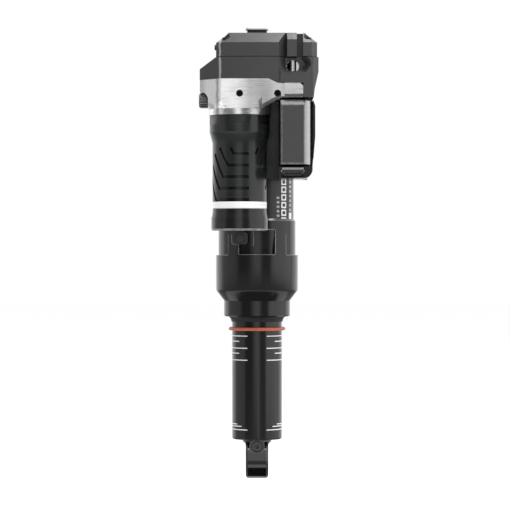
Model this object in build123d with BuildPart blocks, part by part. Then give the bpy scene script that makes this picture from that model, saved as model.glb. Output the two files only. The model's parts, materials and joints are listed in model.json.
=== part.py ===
"""Bicycle rear shock: trunnion head, piggyback reservoir, electronic valve module and battery.

Millimetres, +Z up along the shock axis. The origin is the centre of the lower eyelet bore,
whose axis runs along X. The trunnion axis is SHOCK_LENGTH above it. The reservoir, the
battery and the front of the module face -Y.
"""
import math
import os

from build123d import *

# ------------------------------------------------------------------ driving dimensions, mm
SHOCK_LENGTH = 205.0  # lower eyelet centre to trunnion axis, fully extended
STROKE = 65.0  # travel of the lower leg
SLIDE_FIT = 0.05  # radial clearance of seals and rings on their bores
TURN_FIT = 0.06  # radial clearance of turning shafts and pins
CLEAR = 0.4  # space kept between separate moving bodies

# lower leg
EYE_BORE_R = 6.35
EYE_WIDTH = 12.7
EYE_R = 11.5
EYE_BUSH_R = 7.5
LEG_R = 14.15
LEG_BORE_R = 12.15
LEG_BOTTOM = 10.8
LEG_FLOOR = 14.8
LEG_TOP = 106.0
LEG_SPIGOT_R = 7.0
ADJUSTER_Z = 7.1
ADJUSTER_R = 3.2
ADJUSTER_FRONT = -10.2
ADJUSTER_BACK = -7.4

# air spring
CAN_R = 20.7
CAN_BORE_R = 19.0
CAN_BOTTOM = 97.0
CAN_TOP = 195.2
SLEEVE_BOTTOM = 80.1
SLEEVE_NECK_R = 18.7
SLEEVE_R = 23.2
SLEEVE_UPPER_R = 21.8
SLEEVE_LEDGE = 114.7
SLEEVE_TOP = 135.0
TONGUE_HALF_WIDTH = 16.2
TONGUE_TOP = 127.0
WINDOW_HALF_WIDTH = 10.2
WINDOW_FLOOR_R = 21.1
WINDOW_TOP = 129.0
PLUG_X = -9.6
PLUG_Z = 124.0
PLUG_FRONT = 22.4
SEAL_HEAD_TOP = 116.0
SEAL_HEAD_SPIGOT = 99.0

# damper shaft and piston
SHAFT_R = 5.0
SHAFT_STUD_R = 3.5
SHAFT_BORE_R = 2.0
SHAFT_SHOULDER = 95.2
SHAFT_TOP = 203.0
NUT_BOTTOM = 83.5
PISTON_BOTTOM = 88.2
PISTON_TOP = 94.2
PISTON_R = 12.0

# reservoir, on its own axis in front of the air can
RES_X = -9.6
RES_Y = -38.0
RES_BORE_R = 12.5
RES_R = 14.9
RES_COLLAR_R = 16.5
RES_COLLAR_BOTTOM = 181.3
RES_NECK_BOTTOM = 176.0
BAND_TOP = 143.8
BAND_BOTTOM = 140.2
RES_BOTTOM = 128.0
RES_SPIGOT_R = 13.9
FLOAT_BOTTOM = 164.0
FLOAT_TOP = 173.0
GROOVE_DEPTH = 0.8
GROOVE_WIDTH = 1.9
GROOVE_PITCH = 6.25
GROOVE_FIRST_Z = 169.8
GROOVE_COUNT = 5

# head
HEAD_BOTTOM = 191.2
HEAD_TOP = 210.4
HEAD_CAP_R = 23.0
HEAD_COLLAR_R = 17.1
TRUNNION_HALF_WIDTH = 27.0
TRUNNION_THREAD_R = 5.0
TRUNNION_DEPTH = 13.0
TRUNNION_BOSS_R = 9.5
FRONT_Y = -55.4
CREASE_X = -19.6
LOBE_LEFT = -31.3
LOBE_RIGHT = 13.1
LOBE_BOTTOM = 194.4
PANEL_RIGHT = 25.0
PANEL_BOTTOM = 200.3
PANEL_TOP = 208.0
FRONT_HOLE_Z = 202.4
FRONT_HOLE_R = 1.9
FRONT_HOLES = [(-9.5, FRONT_HOLE_Z), (11.1, FRONT_HOLE_Z)]
FLARE_R = 21.5
FLARE_TOP = 201.4
FLARE_CUT_RIGHT = 2.6
VALVE_X = -4.5
VALVE_Y = -21.0
AIR_VALVE_Z = 201.0
DIAL_Y = -38.0
DIAL_Z = 199.5
DIAL_R = 4.2
DIAL_INNER_X = -26.9
DIAL_OUTER_X = -31.9

# electronic module
HOUSING_TOP = 222.2
COVER_BOTTOM = 222.6
COVER_SHOULDER = 230.1
COVER_TOP = 235.8
MODULE_LEFT = -22.3
MODULE_RIGHT = 32.6
MODULE_BACK = 15.0
COVER_CHAMFER = 6.6
FACET_SLOPE = 1.05
FACET_LEAN = 0.091
WALL = 2.3
FLANK_X = 33.4
FLANK_WIDEST_Z = 214.3
ARM_LEFT = 25.2
SHOULDER_Z = 216.4
POCKET_X = 19.5
POCKET_Z = 217.7
POCKET_BORE_R = 3.6
POCKET_BACK = 11.0
SIDE_BUTTON_Y = -40.0
SIDE_BUTTON_Z = 228.5
SIDE_BUTTON_R = 1.5
SCREW_LEFT = -17.0
SCREW_RIGHT = 27.6
SCREW_FRONT = -51.2
SCREW_BACK = 10.6
CHANNEL_LEFT = 12.2
CHANNEL_RIGHT = 25.0
BUTTON_Y = -34.0
BUTTON_TOP = 240.0

# battery and dock
BATTERY_LEFT = 12.6
BATTERY_RIGHT = 29.0
BATTERY_BACK = -25.3
BATTERY_FRONT = -55.2
BATTERY_BOTTOM = 163.8
BATTERY_TOP = 199.0
RIM_BOTTOM = 163.2
RIM_TOP = 199.9
DOCK_FRONT = -24.0
DOCK_BACK = -21.1
DOCK_BOTTOM = 156.4
DOCK_TOP = 200.2
DOCK_RIGHT = 32.2
DOCK_SHELF_TOP = 162.8
LATCH_LEFT = 13.5
LATCH_RIGHT = 25.3
LATCH_Y = -49.0
LATCH_Z = 160.4
LATCH_PIN_R = 1.0

# ------------------------------------------------------------------ planes and axes
RES_CENTRE = (RES_X, RES_Y)
RES_AXIS = Axis((RES_X, RES_Y, 0), (0, 0, 1))
FROM_FRONT = Plane.XZ  # local x is X, local y is Z, and it extrudes towards -Y
FROM_RIGHT = Plane.YZ  # local x is Y, local y is Z, and it extrudes towards +X

os.makedirs("parts", exist_ok=True)


def keep(piece, label):
    """Label a finished piece and write it to its own STEP file."""
    piece.part.label = label
    export_step(piece.part, f"parts/{label}.step")


def front_plane(y):
    """The plane at depth y that faces the front of the shock."""
    return Plane(origin=(0, y, 0), x_dir=(1, 0, 0), z_dir=(0, -1, 0))


def ring(label, outer, inner, low, high, centre=(0, 0)):
    """A plain ring about a vertical axis, or a disc where inner is 0."""
    with BuildPart() as piece:
        with BuildSketch(Plane((centre[0], centre[1], low))):
            Circle(outer)
            if inner > 0:
                Circle(inner, mode=Mode.SUBTRACT)
        extrude(amount=high - low)
    keep(piece, label)


def turned(label, outline, centre=(0, 0)):
    """A piece turned about a vertical axis from its half section of (radius, height) points."""
    section = Plane(origin=(centre[0], centre[1], 0), x_dir=(1, 0, 0), z_dir=(0, -1, 0))
    with BuildPart() as piece:
        with BuildSketch(section):
            with BuildLine():
                Polyline(*outline, close=True)
            make_face()
        revolve(axis=Axis((centre[0], centre[1], 0), (0, 0, 1)))
    keep(piece, label)


# ================================================================== lower leg
with BuildPart() as lower_eyelet:
    with BuildSketch(FROM_RIGHT.offset(-EYE_WIDTH / 2)):
        Circle(EYE_R)
    extrude(amount=EYE_WIDTH)
    rim_edges = lower_eyelet.edges().filter_by(GeomType.CIRCLE)
    chamfer(rim_edges, length=1.1)
    # flange under the damper body, flared into the eye by an arc
    with BuildSketch(FROM_FRONT):
        with BuildLine():
            Line((0, 5.0), (6.0, 5.0))
            Line((6.0, 5.0), (6.3, 6.6))
            ThreePointArc((6.3, 6.6), (6.8, 8.2), (8.15, 9.2))
            Line((8.15, 9.2), (8.15, LEG_BOTTOM))
            Line((8.15, LEG_BOTTOM), (0, LEG_BOTTOM))
            Line((0, LEG_BOTTOM), (0, 5.0))
        make_face()
    revolve(axis=Axis.Z)
    # boss that carries the adjuster
    with BuildSketch(front_plane(-1.0)):
        with Locations((0, ADJUSTER_Z)):
            Circle(4.4)
    extrude(amount=-1.0 - ADJUSTER_FRONT)
    # everything above the seat of the damper body is removed
    with BuildSketch(Plane.XY.offset(LEG_BOTTOM)):
        Circle(2 * EYE_R)
    extrude(amount=EYE_R, mode=Mode.SUBTRACT)
    # threaded spigot inside the damper body
    with BuildSketch(Plane.XY.offset(LEG_BOTTOM)):
        Circle(LEG_SPIGOT_R)
    extrude(amount=LEG_FLOOR - LEG_BOTTOM)
    with BuildSketch(FROM_RIGHT.offset(-EYE_WIDTH)):
        Circle(EYE_BUSH_R)
    extrude(amount=2 * EYE_WIDTH, mode=Mode.SUBTRACT)
    with BuildSketch(front_plane(ADJUSTER_BACK)):
        with Locations((0, ADJUSTER_Z)):
            Circle(ADJUSTER_R)
    extrude(amount=EYE_R, mode=Mode.SUBTRACT)
keep(lower_eyelet, "lower_eyelet")

with BuildPart() as eyelet_bushing:
    with BuildSketch(FROM_RIGHT.offset(-EYE_WIDTH / 2)):
        Circle(EYE_BUSH_R)
        Circle(EYE_BORE_R, mode=Mode.SUBTRACT)
    extrude(amount=EYE_WIDTH)
keep(eyelet_bushing, "eyelet_bushing")

with BuildPart() as bottom_out_adjuster:
    with BuildSketch(front_plane(ADJUSTER_BACK - 0.05)):
        with Locations((0, ADJUSTER_Z)):
            Circle(ADJUSTER_R - TURN_FIT)
    extrude(amount=2.5)
    rim_edges = bottom_out_adjuster.edges().group_by(Axis.Y)[0]
    chamfer(rim_edges, length=0.35)
    with BuildSketch(front_plane(ADJUSTER_BACK - 2.55)):
        with Locations((0, ADJUSTER_Z)):
            RegularPolygon(radius=1.45, side_count=6)
    extrude(amount=-1.5, mode=Mode.SUBTRACT)
keep(bottom_out_adjuster, "bottom_out_adjuster")

with BuildPart() as damper_body:
    with BuildSketch(Plane.XY.offset(LEG_BOTTOM)):
        Circle(LEG_R)
    extrude(amount=LEG_TOP - LEG_BOTTOM)
    fillet(damper_body.edges().group_by(Axis.Z)[0], radius=1.0)
    with BuildSketch(Plane.XY.offset(LEG_FLOOR)):
        Circle(LEG_BORE_R)
    extrude(amount=LEG_TOP, mode=Mode.SUBTRACT)
    with BuildSketch(Plane.XY.offset(LEG_BOTTOM)):
        Circle(LEG_SPIGOT_R)
    extrude(amount=LEG_TOP, mode=Mode.SUBTRACT)
keep(damper_body, "damper_body")

ring("bottom_out_cup", LEG_BORE_R - 0.03, 9.0, LEG_FLOOR, LEG_FLOOR + 4.2)

turned(
    "seal_head",
    [
        (SHAFT_R + TURN_FIT, SEAL_HEAD_SPIGOT),
        (LEG_BORE_R - 0.03, SEAL_HEAD_SPIGOT),
        (LEG_BORE_R - 0.03, LEG_TOP),
        (18.6, LEG_TOP),
        (18.6, 109.0),
        (16.4, 109.0),
        (16.4, 113.0),
        (18.6, 113.0),
        (18.6, SEAL_HEAD_TOP - 0.8),
        (17.8, SEAL_HEAD_TOP),
        (SHAFT_R + TURN_FIT, SEAL_HEAD_TOP),
        (SHAFT_R + TURN_FIT, 104.5),
        (7.5, 104.5),
        (7.5, 101.5),
        (SHAFT_R + TURN_FIT, 101.5),
    ],
)
ring("air_piston_seal", CAN_BORE_R - SLIDE_FIT, 16.4, 109.0, 113.0)
ring("shaft_seal", 7.5, SHAFT_R + SLIDE_FIT, 101.5, 104.5)

with BuildPart() as sag_ring:
    ring_section_r = 0.925
    with BuildSketch(FROM_FRONT):
        with Locations((LEG_R + SLIDE_FIT + ring_section_r, 73.1)):
            Circle(ring_section_r)
    revolve(axis=Axis.Z)
keep(sag_ring, "sag_ring")

# ================================================================== damper shaft, fixed to the head
turned(
    "damper_shaft",
    [
        (SHAFT_BORE_R, NUT_BOTTOM - 0.5),
        (SHAFT_STUD_R, NUT_BOTTOM - 0.5),
        (SHAFT_STUD_R, SHAFT_SHOULDER),
        (SHAFT_R, SHAFT_SHOULDER),
        (SHAFT_R, SHAFT_TOP),
        (SHAFT_BORE_R, SHAFT_TOP),
    ],
)
ring("rebound_rod", SHAFT_BORE_R - 0.1, 0, NUT_BOTTOM, SHAFT_TOP)

with BuildPart() as main_piston:
    with BuildSketch(Plane.XY.offset(PISTON_BOTTOM)):
        Circle(PISTON_R)
        Circle(SHAFT_STUD_R, mode=Mode.SUBTRACT)
        with PolarLocations(7.0, 6):
            Circle(1.4, mode=Mode.SUBTRACT)
    extrude(amount=PISTON_TOP - PISTON_BOTTOM)
    with BuildSketch(Plane.XY.offset(PISTON_BOTTOM + 1.8)):
        Circle(PISTON_R + 1)
        Circle(11.2, mode=Mode.SUBTRACT)
    extrude(amount=2.4, mode=Mode.SUBTRACT)
keep(main_piston, "main_piston")
ring("piston_glide_ring", LEG_BORE_R - SLIDE_FIT, 11.2, PISTON_BOTTOM + 1.8, PISTON_BOTTOM + 4.2)


def shim_stack(label, start_z, direction):
    """Four spring-steel discs that shrink with distance from the piston face."""
    thickness = 0.25
    with BuildPart() as piece:
        for index in range(4):
            low = start_z + direction * index * thickness
            if direction < 0:
                low -= thickness
            with BuildSketch(Plane.XY.offset(low)):
                Circle(9.4 - 1.3 * index)
                Circle(SHAFT_STUD_R, mode=Mode.SUBTRACT)
            extrude(amount=thickness)
    keep(piece, label)


shim_stack("rebound_shims", PISTON_TOP, 1)
shim_stack("compression_shims", PISTON_BOTTOM, -1)

with BuildPart() as piston_nut:
    with BuildSketch(Plane.XY.offset(NUT_BOTTOM)):
        RegularPolygon(radius=6.2, side_count=6)
        Circle(SHAFT_STUD_R, mode=Mode.SUBTRACT)
    extrude(amount=PISTON_BOTTOM - 1.0 - NUT_BOTTOM)
keep(piston_nut, "piston_nut")

ring("top_out_bumper", 9.0, SHAFT_R, SHAFT_SHOULDER + 0.1, SEAL_HEAD_SPIGOT - CLEAR)
turned(
    "bottom_out_bumper",
    [
        (SHAFT_R, SEAL_HEAD_TOP + STROKE + 1.2),
        (8.5, SEAL_HEAD_TOP + STROKE + 1.2),
        (10.5, SEAL_HEAD_TOP + STROKE + 3.0),
        (11.5, CAN_TOP),
        (SHAFT_R, CAN_TOP),
    ],
)

# ================================================================== air can and its sleeve
ring("air_can", CAN_R, CAN_BORE_R, CAN_BOTTOM, CAN_TOP)

with BuildPart() as air_can_sleeve:
    with BuildSketch(FROM_FRONT):
        with BuildLine():
            Polyline(
                (14.6, CAN_BOTTOM),
                (14.6, 94.0),
                (17.0, 94.0),
                (17.0, 90.5),
                (15.4, 90.5),
                (15.4, 84.5),
                (16.4, 84.5),
                (16.4, SLEEVE_BOTTOM),
                (SLEEVE_NECK_R - 0.6, SLEEVE_BOTTOM),
                (SLEEVE_NECK_R, SLEEVE_BOTTOM + 0.6),
                (SLEEVE_NECK_R, 89.0),
                (22.9, 94.4),
                (SLEEVE_R, 95.2),
                (SLEEVE_R, SLEEVE_LEDGE),
                (SLEEVE_UPPER_R, SLEEVE_LEDGE),
                (SLEEVE_UPPER_R, SLEEVE_TOP - 1.0),
                (CAN_R + 0.1, SLEEVE_TOP),
                (CAN_R + 0.03, SLEEVE_TOP),
                (CAN_R + 0.03, 112.0),
                (CAN_R + 1.3, 112.0),
                (CAN_R + 1.3, 99.0),
                (CAN_R + 0.03, 99.0),
                (CAN_R + 0.03, CAN_BOTTOM),
                close=True,
            )
        make_face()
    revolve(axis=Axis.Z)
    # tongues at front and back that ramp up the can
    with BuildPart(mode=Mode.PRIVATE) as ramp:
        with BuildSketch(FROM_FRONT):
            with BuildLine():
                Polyline(
                    (SLEEVE_UPPER_R - 0.5, SLEEVE_LEDGE),
                    (SLEEVE_R, SLEEVE_LEDGE),
                    (SLEEVE_R, 117.5),
                    (SLEEVE_UPPER_R, TONGUE_TOP),
                    (SLEEVE_UPPER_R - 0.5, TONGUE_TOP),
                    close=True,
                )
            make_face()
        revolve(axis=Axis.Z)
        with BuildSketch(front_plane(2 * SLEEVE_R)):
            with Locations((0, SLEEVE_LEDGE + 10)):
                RectangleRounded(2 * TONGUE_HALF_WIDTH, 30, 1.5)
        extrude(amount=4 * SLEEVE_R, mode=Mode.INTERSECT)
    add(ramp.part)
    # window in the front tongue, with a round floor that follows the can
    with BuildPart(mode=Mode.PRIVATE) as window:
        with BuildSketch(Plane.XY.offset(SLEEVE_LEDGE)):
            Circle(SLEEVE_R + 2)
            Circle(WINDOW_FLOOR_R, mode=Mode.SUBTRACT)
        extrude(amount=WINDOW_TOP - SLEEVE_LEDGE)
        with BuildSketch(front_plane(0)):
            with Locations((0, (SLEEVE_LEDGE + 0.3 + WINDOW_TOP) / 2)):
                RectangleRounded(2 * WINDOW_HALF_WIDTH, WINDOW_TOP - SLEEVE_LEDGE - 0.3, 0.8)
        extrude(amount=2 * SLEEVE_R, mode=Mode.INTERSECT)
    add(window.part, mode=Mode.SUBTRACT)
    # seat of the lug beside the window
    with BuildPart(mode=Mode.PRIVATE) as lug_seat:
        with BuildSketch(front_plane(0)):
            with Locations((PLUG_X, PLUG_Z)):
                RectangleRounded(8.9, 6.9, 1.6)
        extrude(amount=2 * SLEEVE_R)
        with BuildSketch(Plane.XY.offset(PLUG_Z - 5)):
            Circle(SLEEVE_UPPER_R)
        extrude(amount=10, mode=Mode.SUBTRACT)
    add(lug_seat.part, mode=Mode.SUBTRACT)
    # narrow upright slot in its floor
    with BuildSketch(front_plane(-CAN_R - 0.15)):
        with Locations((-3.0, 123.8)):
            Rectangle(2.2, 7.3)
    extrude(amount=5, mode=Mode.SUBTRACT)
keep(air_can_sleeve, "air_can_sleeve")

# lug with a small round plug, on the front of the sleeve beside the window
with BuildPart() as sleeve_plug:
    with BuildSketch(front_plane(0)):
        with Locations((PLUG_X, PLUG_Z)):
            RectangleRounded(8.8, 6.8, 1.6)
    extrude(amount=PLUG_FRONT)
    with BuildSketch(Plane.XY.offset(PLUG_Z - 5)):
        Circle(SLEEVE_UPPER_R + 0.03)
    extrude(amount=10, mode=Mode.SUBTRACT)
    with BuildSketch(front_plane(-PLUG_FRONT)):
        with Locations((PLUG_X, PLUG_Z)):
            Circle(3.1)
            Circle(2.3, mode=Mode.SUBTRACT)
    extrude(amount=-0.8, mode=Mode.SUBTRACT)
keep(sleeve_plug, "sleeve_plug")

with BuildPart() as wiper_seal:
    with BuildSketch(FROM_FRONT):
        with BuildLine():
            Line((LEG_R + SLIDE_FIT, 77.1), (14.5, 77.1))
            ThreePointArc((14.5, 77.1), (14.95, 78.7), (16.1, SLEEVE_BOTTOM))
            Polyline(
                (16.1, SLEEVE_BOTTOM),
                (16.4, SLEEVE_BOTTOM),
                (16.4, 84.5),
                (LEG_R + SLIDE_FIT, 84.5),
                (LEG_R + SLIDE_FIT, 77.1),
            )
        make_face()
    revolve(axis=Axis.Z)
keep(wiper_seal, "wiper_seal")
ring("guide_bushing", 15.4, LEG_R + SLIDE_FIT, 84.5, 90.5)
ring("air_seal", 17.0, LEG_R + SLIDE_FIT, 90.5, 94.0)

# ================================================================== reservoir
with BuildPart() as reservoir_body:
    with BuildSketch(Plane(origin=(RES_X, RES_Y, 0), x_dir=(1, 0, 0), z_dir=(0, -1, 0))):
        with BuildLine():
            Polyline(
                (RES_BORE_R, 132.0),
                (13.6, 132.0),
                (13.6, BAND_BOTTOM),
                (14.2, BAND_BOTTOM),
                (14.2, BAND_TOP),
                (RES_R, BAND_TOP),
                (RES_R, RES_NECK_BOTTOM),
                (RES_COLLAR_R - 0.2, RES_COLLAR_BOTTOM),
                (RES_COLLAR_R, RES_COLLAR_BOTTOM + 0.4),
                (RES_COLLAR_R, HEAD_BOTTOM),
                (RES_SPIGOT_R, HEAD_BOTTOM),
                (RES_SPIGOT_R, 196.0),
                (RES_BORE_R, 196.0),
                close=True,
            )
        make_face()
    revolve(axis=RES_AXIS)
    # wrench flats round the collar
    for index in range(6):
        angle = math.radians(60 * index)
        outward = Vector(math.sin(angle), -math.cos(angle), 0)
        flat = Plane(
            origin=Vector(RES_X, RES_Y, 188.6) + outward * 15.5,
            x_dir=(math.cos(angle), math.sin(angle), 0),
            z_dir=outward,
        )
        with BuildSketch(flat):
            Rectangle(13.0, 5.3)
        extrude(amount=3, mode=Mode.SUBTRACT)

    def groove_plane(angle_deg, height, tilt_deg):
        """Sketch plane under the skin at an angle from the front; local x is tilted in the skin."""
        angle = math.radians(angle_deg)
        outward = Vector(math.sin(angle), -math.cos(angle), 0)
        across = Vector(math.cos(angle), math.sin(angle), 0)
        tilt = math.radians(tilt_deg)
        along = across * math.cos(tilt) + Vector(0, 0, math.sin(tilt))
        origin = Vector(RES_X, RES_Y, height) + outward * (RES_R - GROOVE_DEPTH)
        return Plane(origin=origin, x_dir=along, z_dir=outward)

    # level grooves with slanting ends, a nested chevron on each side of the front
    segment = 12.0
    for index in range(GROOVE_COUNT):
        height = GROOVE_FIRST_Z - GROOVE_PITCH * index
        left_end = -12.0 - 12.0 * index
        right_end = 19.7
        steps = math.ceil((right_end - left_end) / segment)
        span = (right_end - left_end) / steps
        for step in range(steps):
            middle = left_end + span * (step + 0.5)
            chord = 2 * RES_R * math.sin(math.radians(span / 2)) + 0.5
            with BuildSketch(groove_plane(middle, height, 0)):
                Rectangle(chord, GROOVE_WIDTH)
            extrude(amount=2, mode=Mode.SUBTRACT)
        rise = 3.1
        turn = 6.9
        rises = min(2 + index, 4)
        for side in (-1, 1):
            start = left_end if side < 0 else 24.6 - left_end
            for step in range(rises):
                place = start + side * turn * (step + 0.5)
                level = height + rise * (step + 0.5)
                if level > RES_NECK_BOTTOM - 1.6:
                    continue
                tilt = 120 if side < 0 else 60
                with BuildSketch(groove_plane(place, level, tilt)):
                    Rectangle(rise / math.sin(math.radians(60)) + 0.6, GROOVE_WIDTH)
                extrude(amount=2, mode=Mode.SUBTRACT)
keep(reservoir_body, "reservoir_body")

ring("reservoir_band", RES_R + 0.05, 14.2, BAND_BOTTOM, BAND_TOP, RES_CENTRE)
turned(
    "reservoir_end_cap",
    [
        (0, RES_BOTTOM + 2.2),
        (4.6, RES_BOTTOM + 2.2),
        (4.6, RES_BOTTOM),
        (14.9, RES_BOTTOM),
        (15.6, RES_BOTTOM + 0.7),
        (15.6, 134.6),
        (15.0, 137.4),
        (14.8, BAND_BOTTOM),
        (13.6, BAND_BOTTOM),
        (13.6, 132.0),
        (0, 132.0),
    ],
    RES_CENTRE,
)
with BuildPart() as reservoir_fill_screw:
    with BuildSketch(Plane((RES_X, RES_Y, RES_BOTTOM + 0.4))):
        Circle(4.2)
        RegularPolygon(radius=1.9, side_count=6, mode=Mode.SUBTRACT)
    extrude(amount=1.8)
keep(reservoir_fill_screw, "reservoir_fill_screw")
turned(
    "floating_piston",
    [
        (0, FLOAT_BOTTOM + 3.0),
        (9.0, FLOAT_BOTTOM + 3.0),
        (9.0, FLOAT_BOTTOM),
        (RES_BORE_R - SLIDE_FIT, FLOAT_BOTTOM),
        (RES_BORE_R - SLIDE_FIT, 167.0),
        (10.6, 167.0),
        (10.6, 170.0),
        (RES_BORE_R - SLIDE_FIT, 170.0),
        (RES_BORE_R - SLIDE_FIT, FLOAT_TOP),
        (0, FLOAT_TOP),
    ],
    RES_CENTRE,
)
ring("floating_piston_seal", RES_BORE_R - 0.03, 10.6, 167.0, 170.0, RES_CENTRE)

# ================================================================== head
LOBE_PLAN = [
    (CREASE_X, FRONT_Y),
    (LOBE_LEFT, -43.0),
    (LOBE_LEFT, -20.0),
    (-22.0, -12.0),
    (LOBE_RIGHT, -12.0),
    (LOBE_RIGHT, FRONT_Y),
]
with BuildPart() as head:
    with BuildSketch(Plane.XY.offset(LOBE_BOTTOM)):
        with BuildLine():
            Polyline(*LOBE_PLAN, close=True)
        make_face()
    extrude(amount=HEAD_TOP - LOBE_BOTTOM)
    # front plate that carries the small right-hand panel
    with BuildSketch(front_plane(-50.0)):
        with BuildLine():
            Polyline(
                (11.0, PANEL_BOTTOM),
                (PANEL_RIGHT, PANEL_BOTTOM),
                (PANEL_RIGHT, PANEL_TOP - 1.6),
                (PANEL_RIGHT - 1.6, PANEL_TOP),
                (11.0, PANEL_TOP),
                close=True,
            )
        make_face()
    extrude(amount=-50.0 - FRONT_Y)
    # slanting lower right edge
    with BuildSketch(front_plane(0)):
        with BuildLine():
            Polyline(
                (2.6, LOBE_BOTTOM),
                (LOBE_RIGHT, PANEL_BOTTOM),
                (26, PANEL_BOTTOM),
                (26, 180),
                (2.6, 180),
                close=True,
            )
        make_face()
    extrude(amount=60, mode=Mode.SUBTRACT)
    slanting_front = head.edges().filter_by(
        lambda e: abs(e.center().Y - FRONT_Y) < 0.01
        and LOBE_BOTTOM + 1 < e.center().Z < PANEL_BOTTOM + 0.1
        and e.bounding_box().size.X > 1.0
    )
    chamfer(slanting_front, length=1.8)
    # the lobe narrows downwards into the collar round the reservoir
    with BuildPart(mode=Mode.PRIVATE) as outside_flare:
        with BuildSketch(Plane(origin=(RES_X, RES_Y, 0), x_dir=(1, 0, 0), z_dir=(0, -1, 0))):
            with BuildLine():
                Polyline(
                    (HEAD_COLLAR_R, HEAD_BOTTOM - 1),
                    (HEAD_COLLAR_R, HEAD_BOTTOM + 1.4),
                    (FLARE_R, FLARE_TOP),
                    (3 * FLARE_R, FLARE_TOP),
                    (3 * FLARE_R, HEAD_BOTTOM - 1),
                    close=True,
                )
            make_face()
        revolve(axis=RES_AXIS)
        with BuildSketch(Plane.XY.offset(HEAD_BOTTOM - 2)):
            with Locations((FLARE_CUT_RIGHT - 50, -25)):
                Rectangle(100, 200)
        extrude(amount=40, mode=Mode.INTERSECT)
    add(outside_flare.part, mode=Mode.SUBTRACT)
    # scooped left flank over the dial
    with BuildSketch(front_plane(0)):
        with Locations((-31.7, 199.1)):
            Circle(5.0)
        with Locations((-31.7, 194.1)):
            Rectangle(10.0, 10.0)
    extrude(amount=60, mode=Mode.SUBTRACT)
    # collar over the reservoir and cap over the air can
    with BuildSketch(Plane((RES_X, RES_Y, HEAD_BOTTOM))):
        Circle(HEAD_COLLAR_R)
    extrude(amount=7.0)
    with BuildSketch(Plane.XY.offset(HEAD_BOTTOM)):
        Circle(HEAD_CAP_R)
    extrude(amount=8.0)
    # bridge from the cap to the lobe, below the module
    with BuildSketch(Plane.XY.offset(HEAD_BOTTOM)):
        with Locations((-4.4, -18.0)):
            Rectangle(19.2, 20.0)
    extrude(amount=HEAD_TOP - HEAD_BOTTOM)
    # block and bosses on the trunnion axis
    with BuildSketch(Plane.XY.offset(HEAD_BOTTOM + 4)):
        with Locations((0, 0)):
            RectangleRounded(40.0, 26.0, 4.0)
    extrude(amount=HEAD_TOP - HEAD_BOTTOM - 4)
    with BuildSketch(FROM_RIGHT.offset(-TRUNNION_HALF_WIDTH)):
        with Locations((0, SHOCK_LENGTH)):
            Circle(TRUNNION_BOSS_R)
    extrude(amount=2 * TRUNNION_HALF_WIDTH)
    # notch where the module housing reaches down at the right
    with BuildSketch(front_plane(-49.8)):
        with BuildLine():
            Polyline(
                (6.1, HEAD_TOP),
                (11.2, PANEL_TOP),
                (14.0, PANEL_TOP),
                (14.0, HEAD_TOP + 1),
                (6.1, HEAD_TOP + 1),
                close=True,
            )
        make_face()
    extrude(amount=10, mode=Mode.SUBTRACT)
    # shallow upright groove beside the small panel
    with BuildSketch(front_plane(FRONT_Y + 1.2)):
        with Locations((14.0, 204.5)):
            Rectangle(1.8, 10.0)
    extrude(amount=5, mode=Mode.SUBTRACT)
    # pockets for the air can and the reservoir
    with BuildSketch(Plane.XY.offset(HEAD_BOTTOM)):
        Circle(CAN_R)
    extrude(amount=CAN_TOP - HEAD_BOTTOM, mode=Mode.SUBTRACT)
    with BuildSketch(Plane((RES_X, RES_Y, HEAD_BOTTOM))):
        Circle(RES_SPIGOT_R)
    extrude(amount=5.0, mode=Mode.SUBTRACT)
    # shaft thread, valve bore and the oil passage that joins them to the reservoir
    with BuildSketch(Plane.XY.offset(CAN_TOP)):
        Circle(SHAFT_R)
    extrude(amount=SHAFT_TOP - CAN_TOP, mode=Mode.SUBTRACT)
    with BuildSketch(Plane((VALVE_X, VALVE_Y, 197.0))):
        Circle(4.0)
    extrude(amount=30, mode=Mode.SUBTRACT)
    with BuildSketch(Plane((RES_X, RES_Y, 196.0))):
        Circle(3.0)
    extrude(amount=5.0, mode=Mode.SUBTRACT)
    passage_length = math.hypot(RES_X, RES_Y)
    passage = Plane(origin=(RES_X, RES_Y, 199.0), x_dir=(0, 0, 1), z_dir=(-RES_X, -RES_Y, 0))
    with BuildSketch(passage):
        Circle(2.0)
    extrude(amount=passage_length, mode=Mode.SUBTRACT)
    # trunnion threads
    for side in (-1, 1):
        with BuildSketch(FROM_RIGHT.offset(side * TRUNNION_HALF_WIDTH)):
            with Locations((0, SHOCK_LENGTH)):
                Circle(TRUNNION_THREAD_R)
        extrude(amount=-side * TRUNNION_DEPTH, mode=Mode.SUBTRACT)
    # two blind holes in the front, closed by plugs
    with BuildSketch(front_plane(FRONT_Y + 5.4)):
        with Locations(*FRONT_HOLES):
            Circle(FRONT_HOLE_R)
    extrude(amount=8, mode=Mode.SUBTRACT)
    # seat and stem hole of the dial
    with BuildSketch(FROM_RIGHT.offset(DIAL_INNER_X + 0.1)):
        with Locations((DIAL_Y, DIAL_Z)):
            Circle(DIAL_R + 0.7)
    extrude(amount=-10, mode=Mode.SUBTRACT)
    with BuildSketch(FROM_RIGHT.offset(-19.0)):
        with Locations((DIAL_Y, DIAL_Z)):
            Circle(1.5 + TURN_FIT)
    extrude(amount=-12, mode=Mode.SUBTRACT)
    # threaded seat of the air valve at the back
    with BuildSketch(front_plane(HEAD_CAP_R + 2.0)):
        with Locations((0, AIR_VALVE_Z)):
            Circle(4.6)
    extrude(amount=14)
    with BuildSketch(front_plane(HEAD_CAP_R + 3.0)):
        with Locations((0, AIR_VALVE_Z)):
            Circle(2.6)
    extrude(amount=7, mode=Mode.SUBTRACT)
keep(head, "head")

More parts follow.
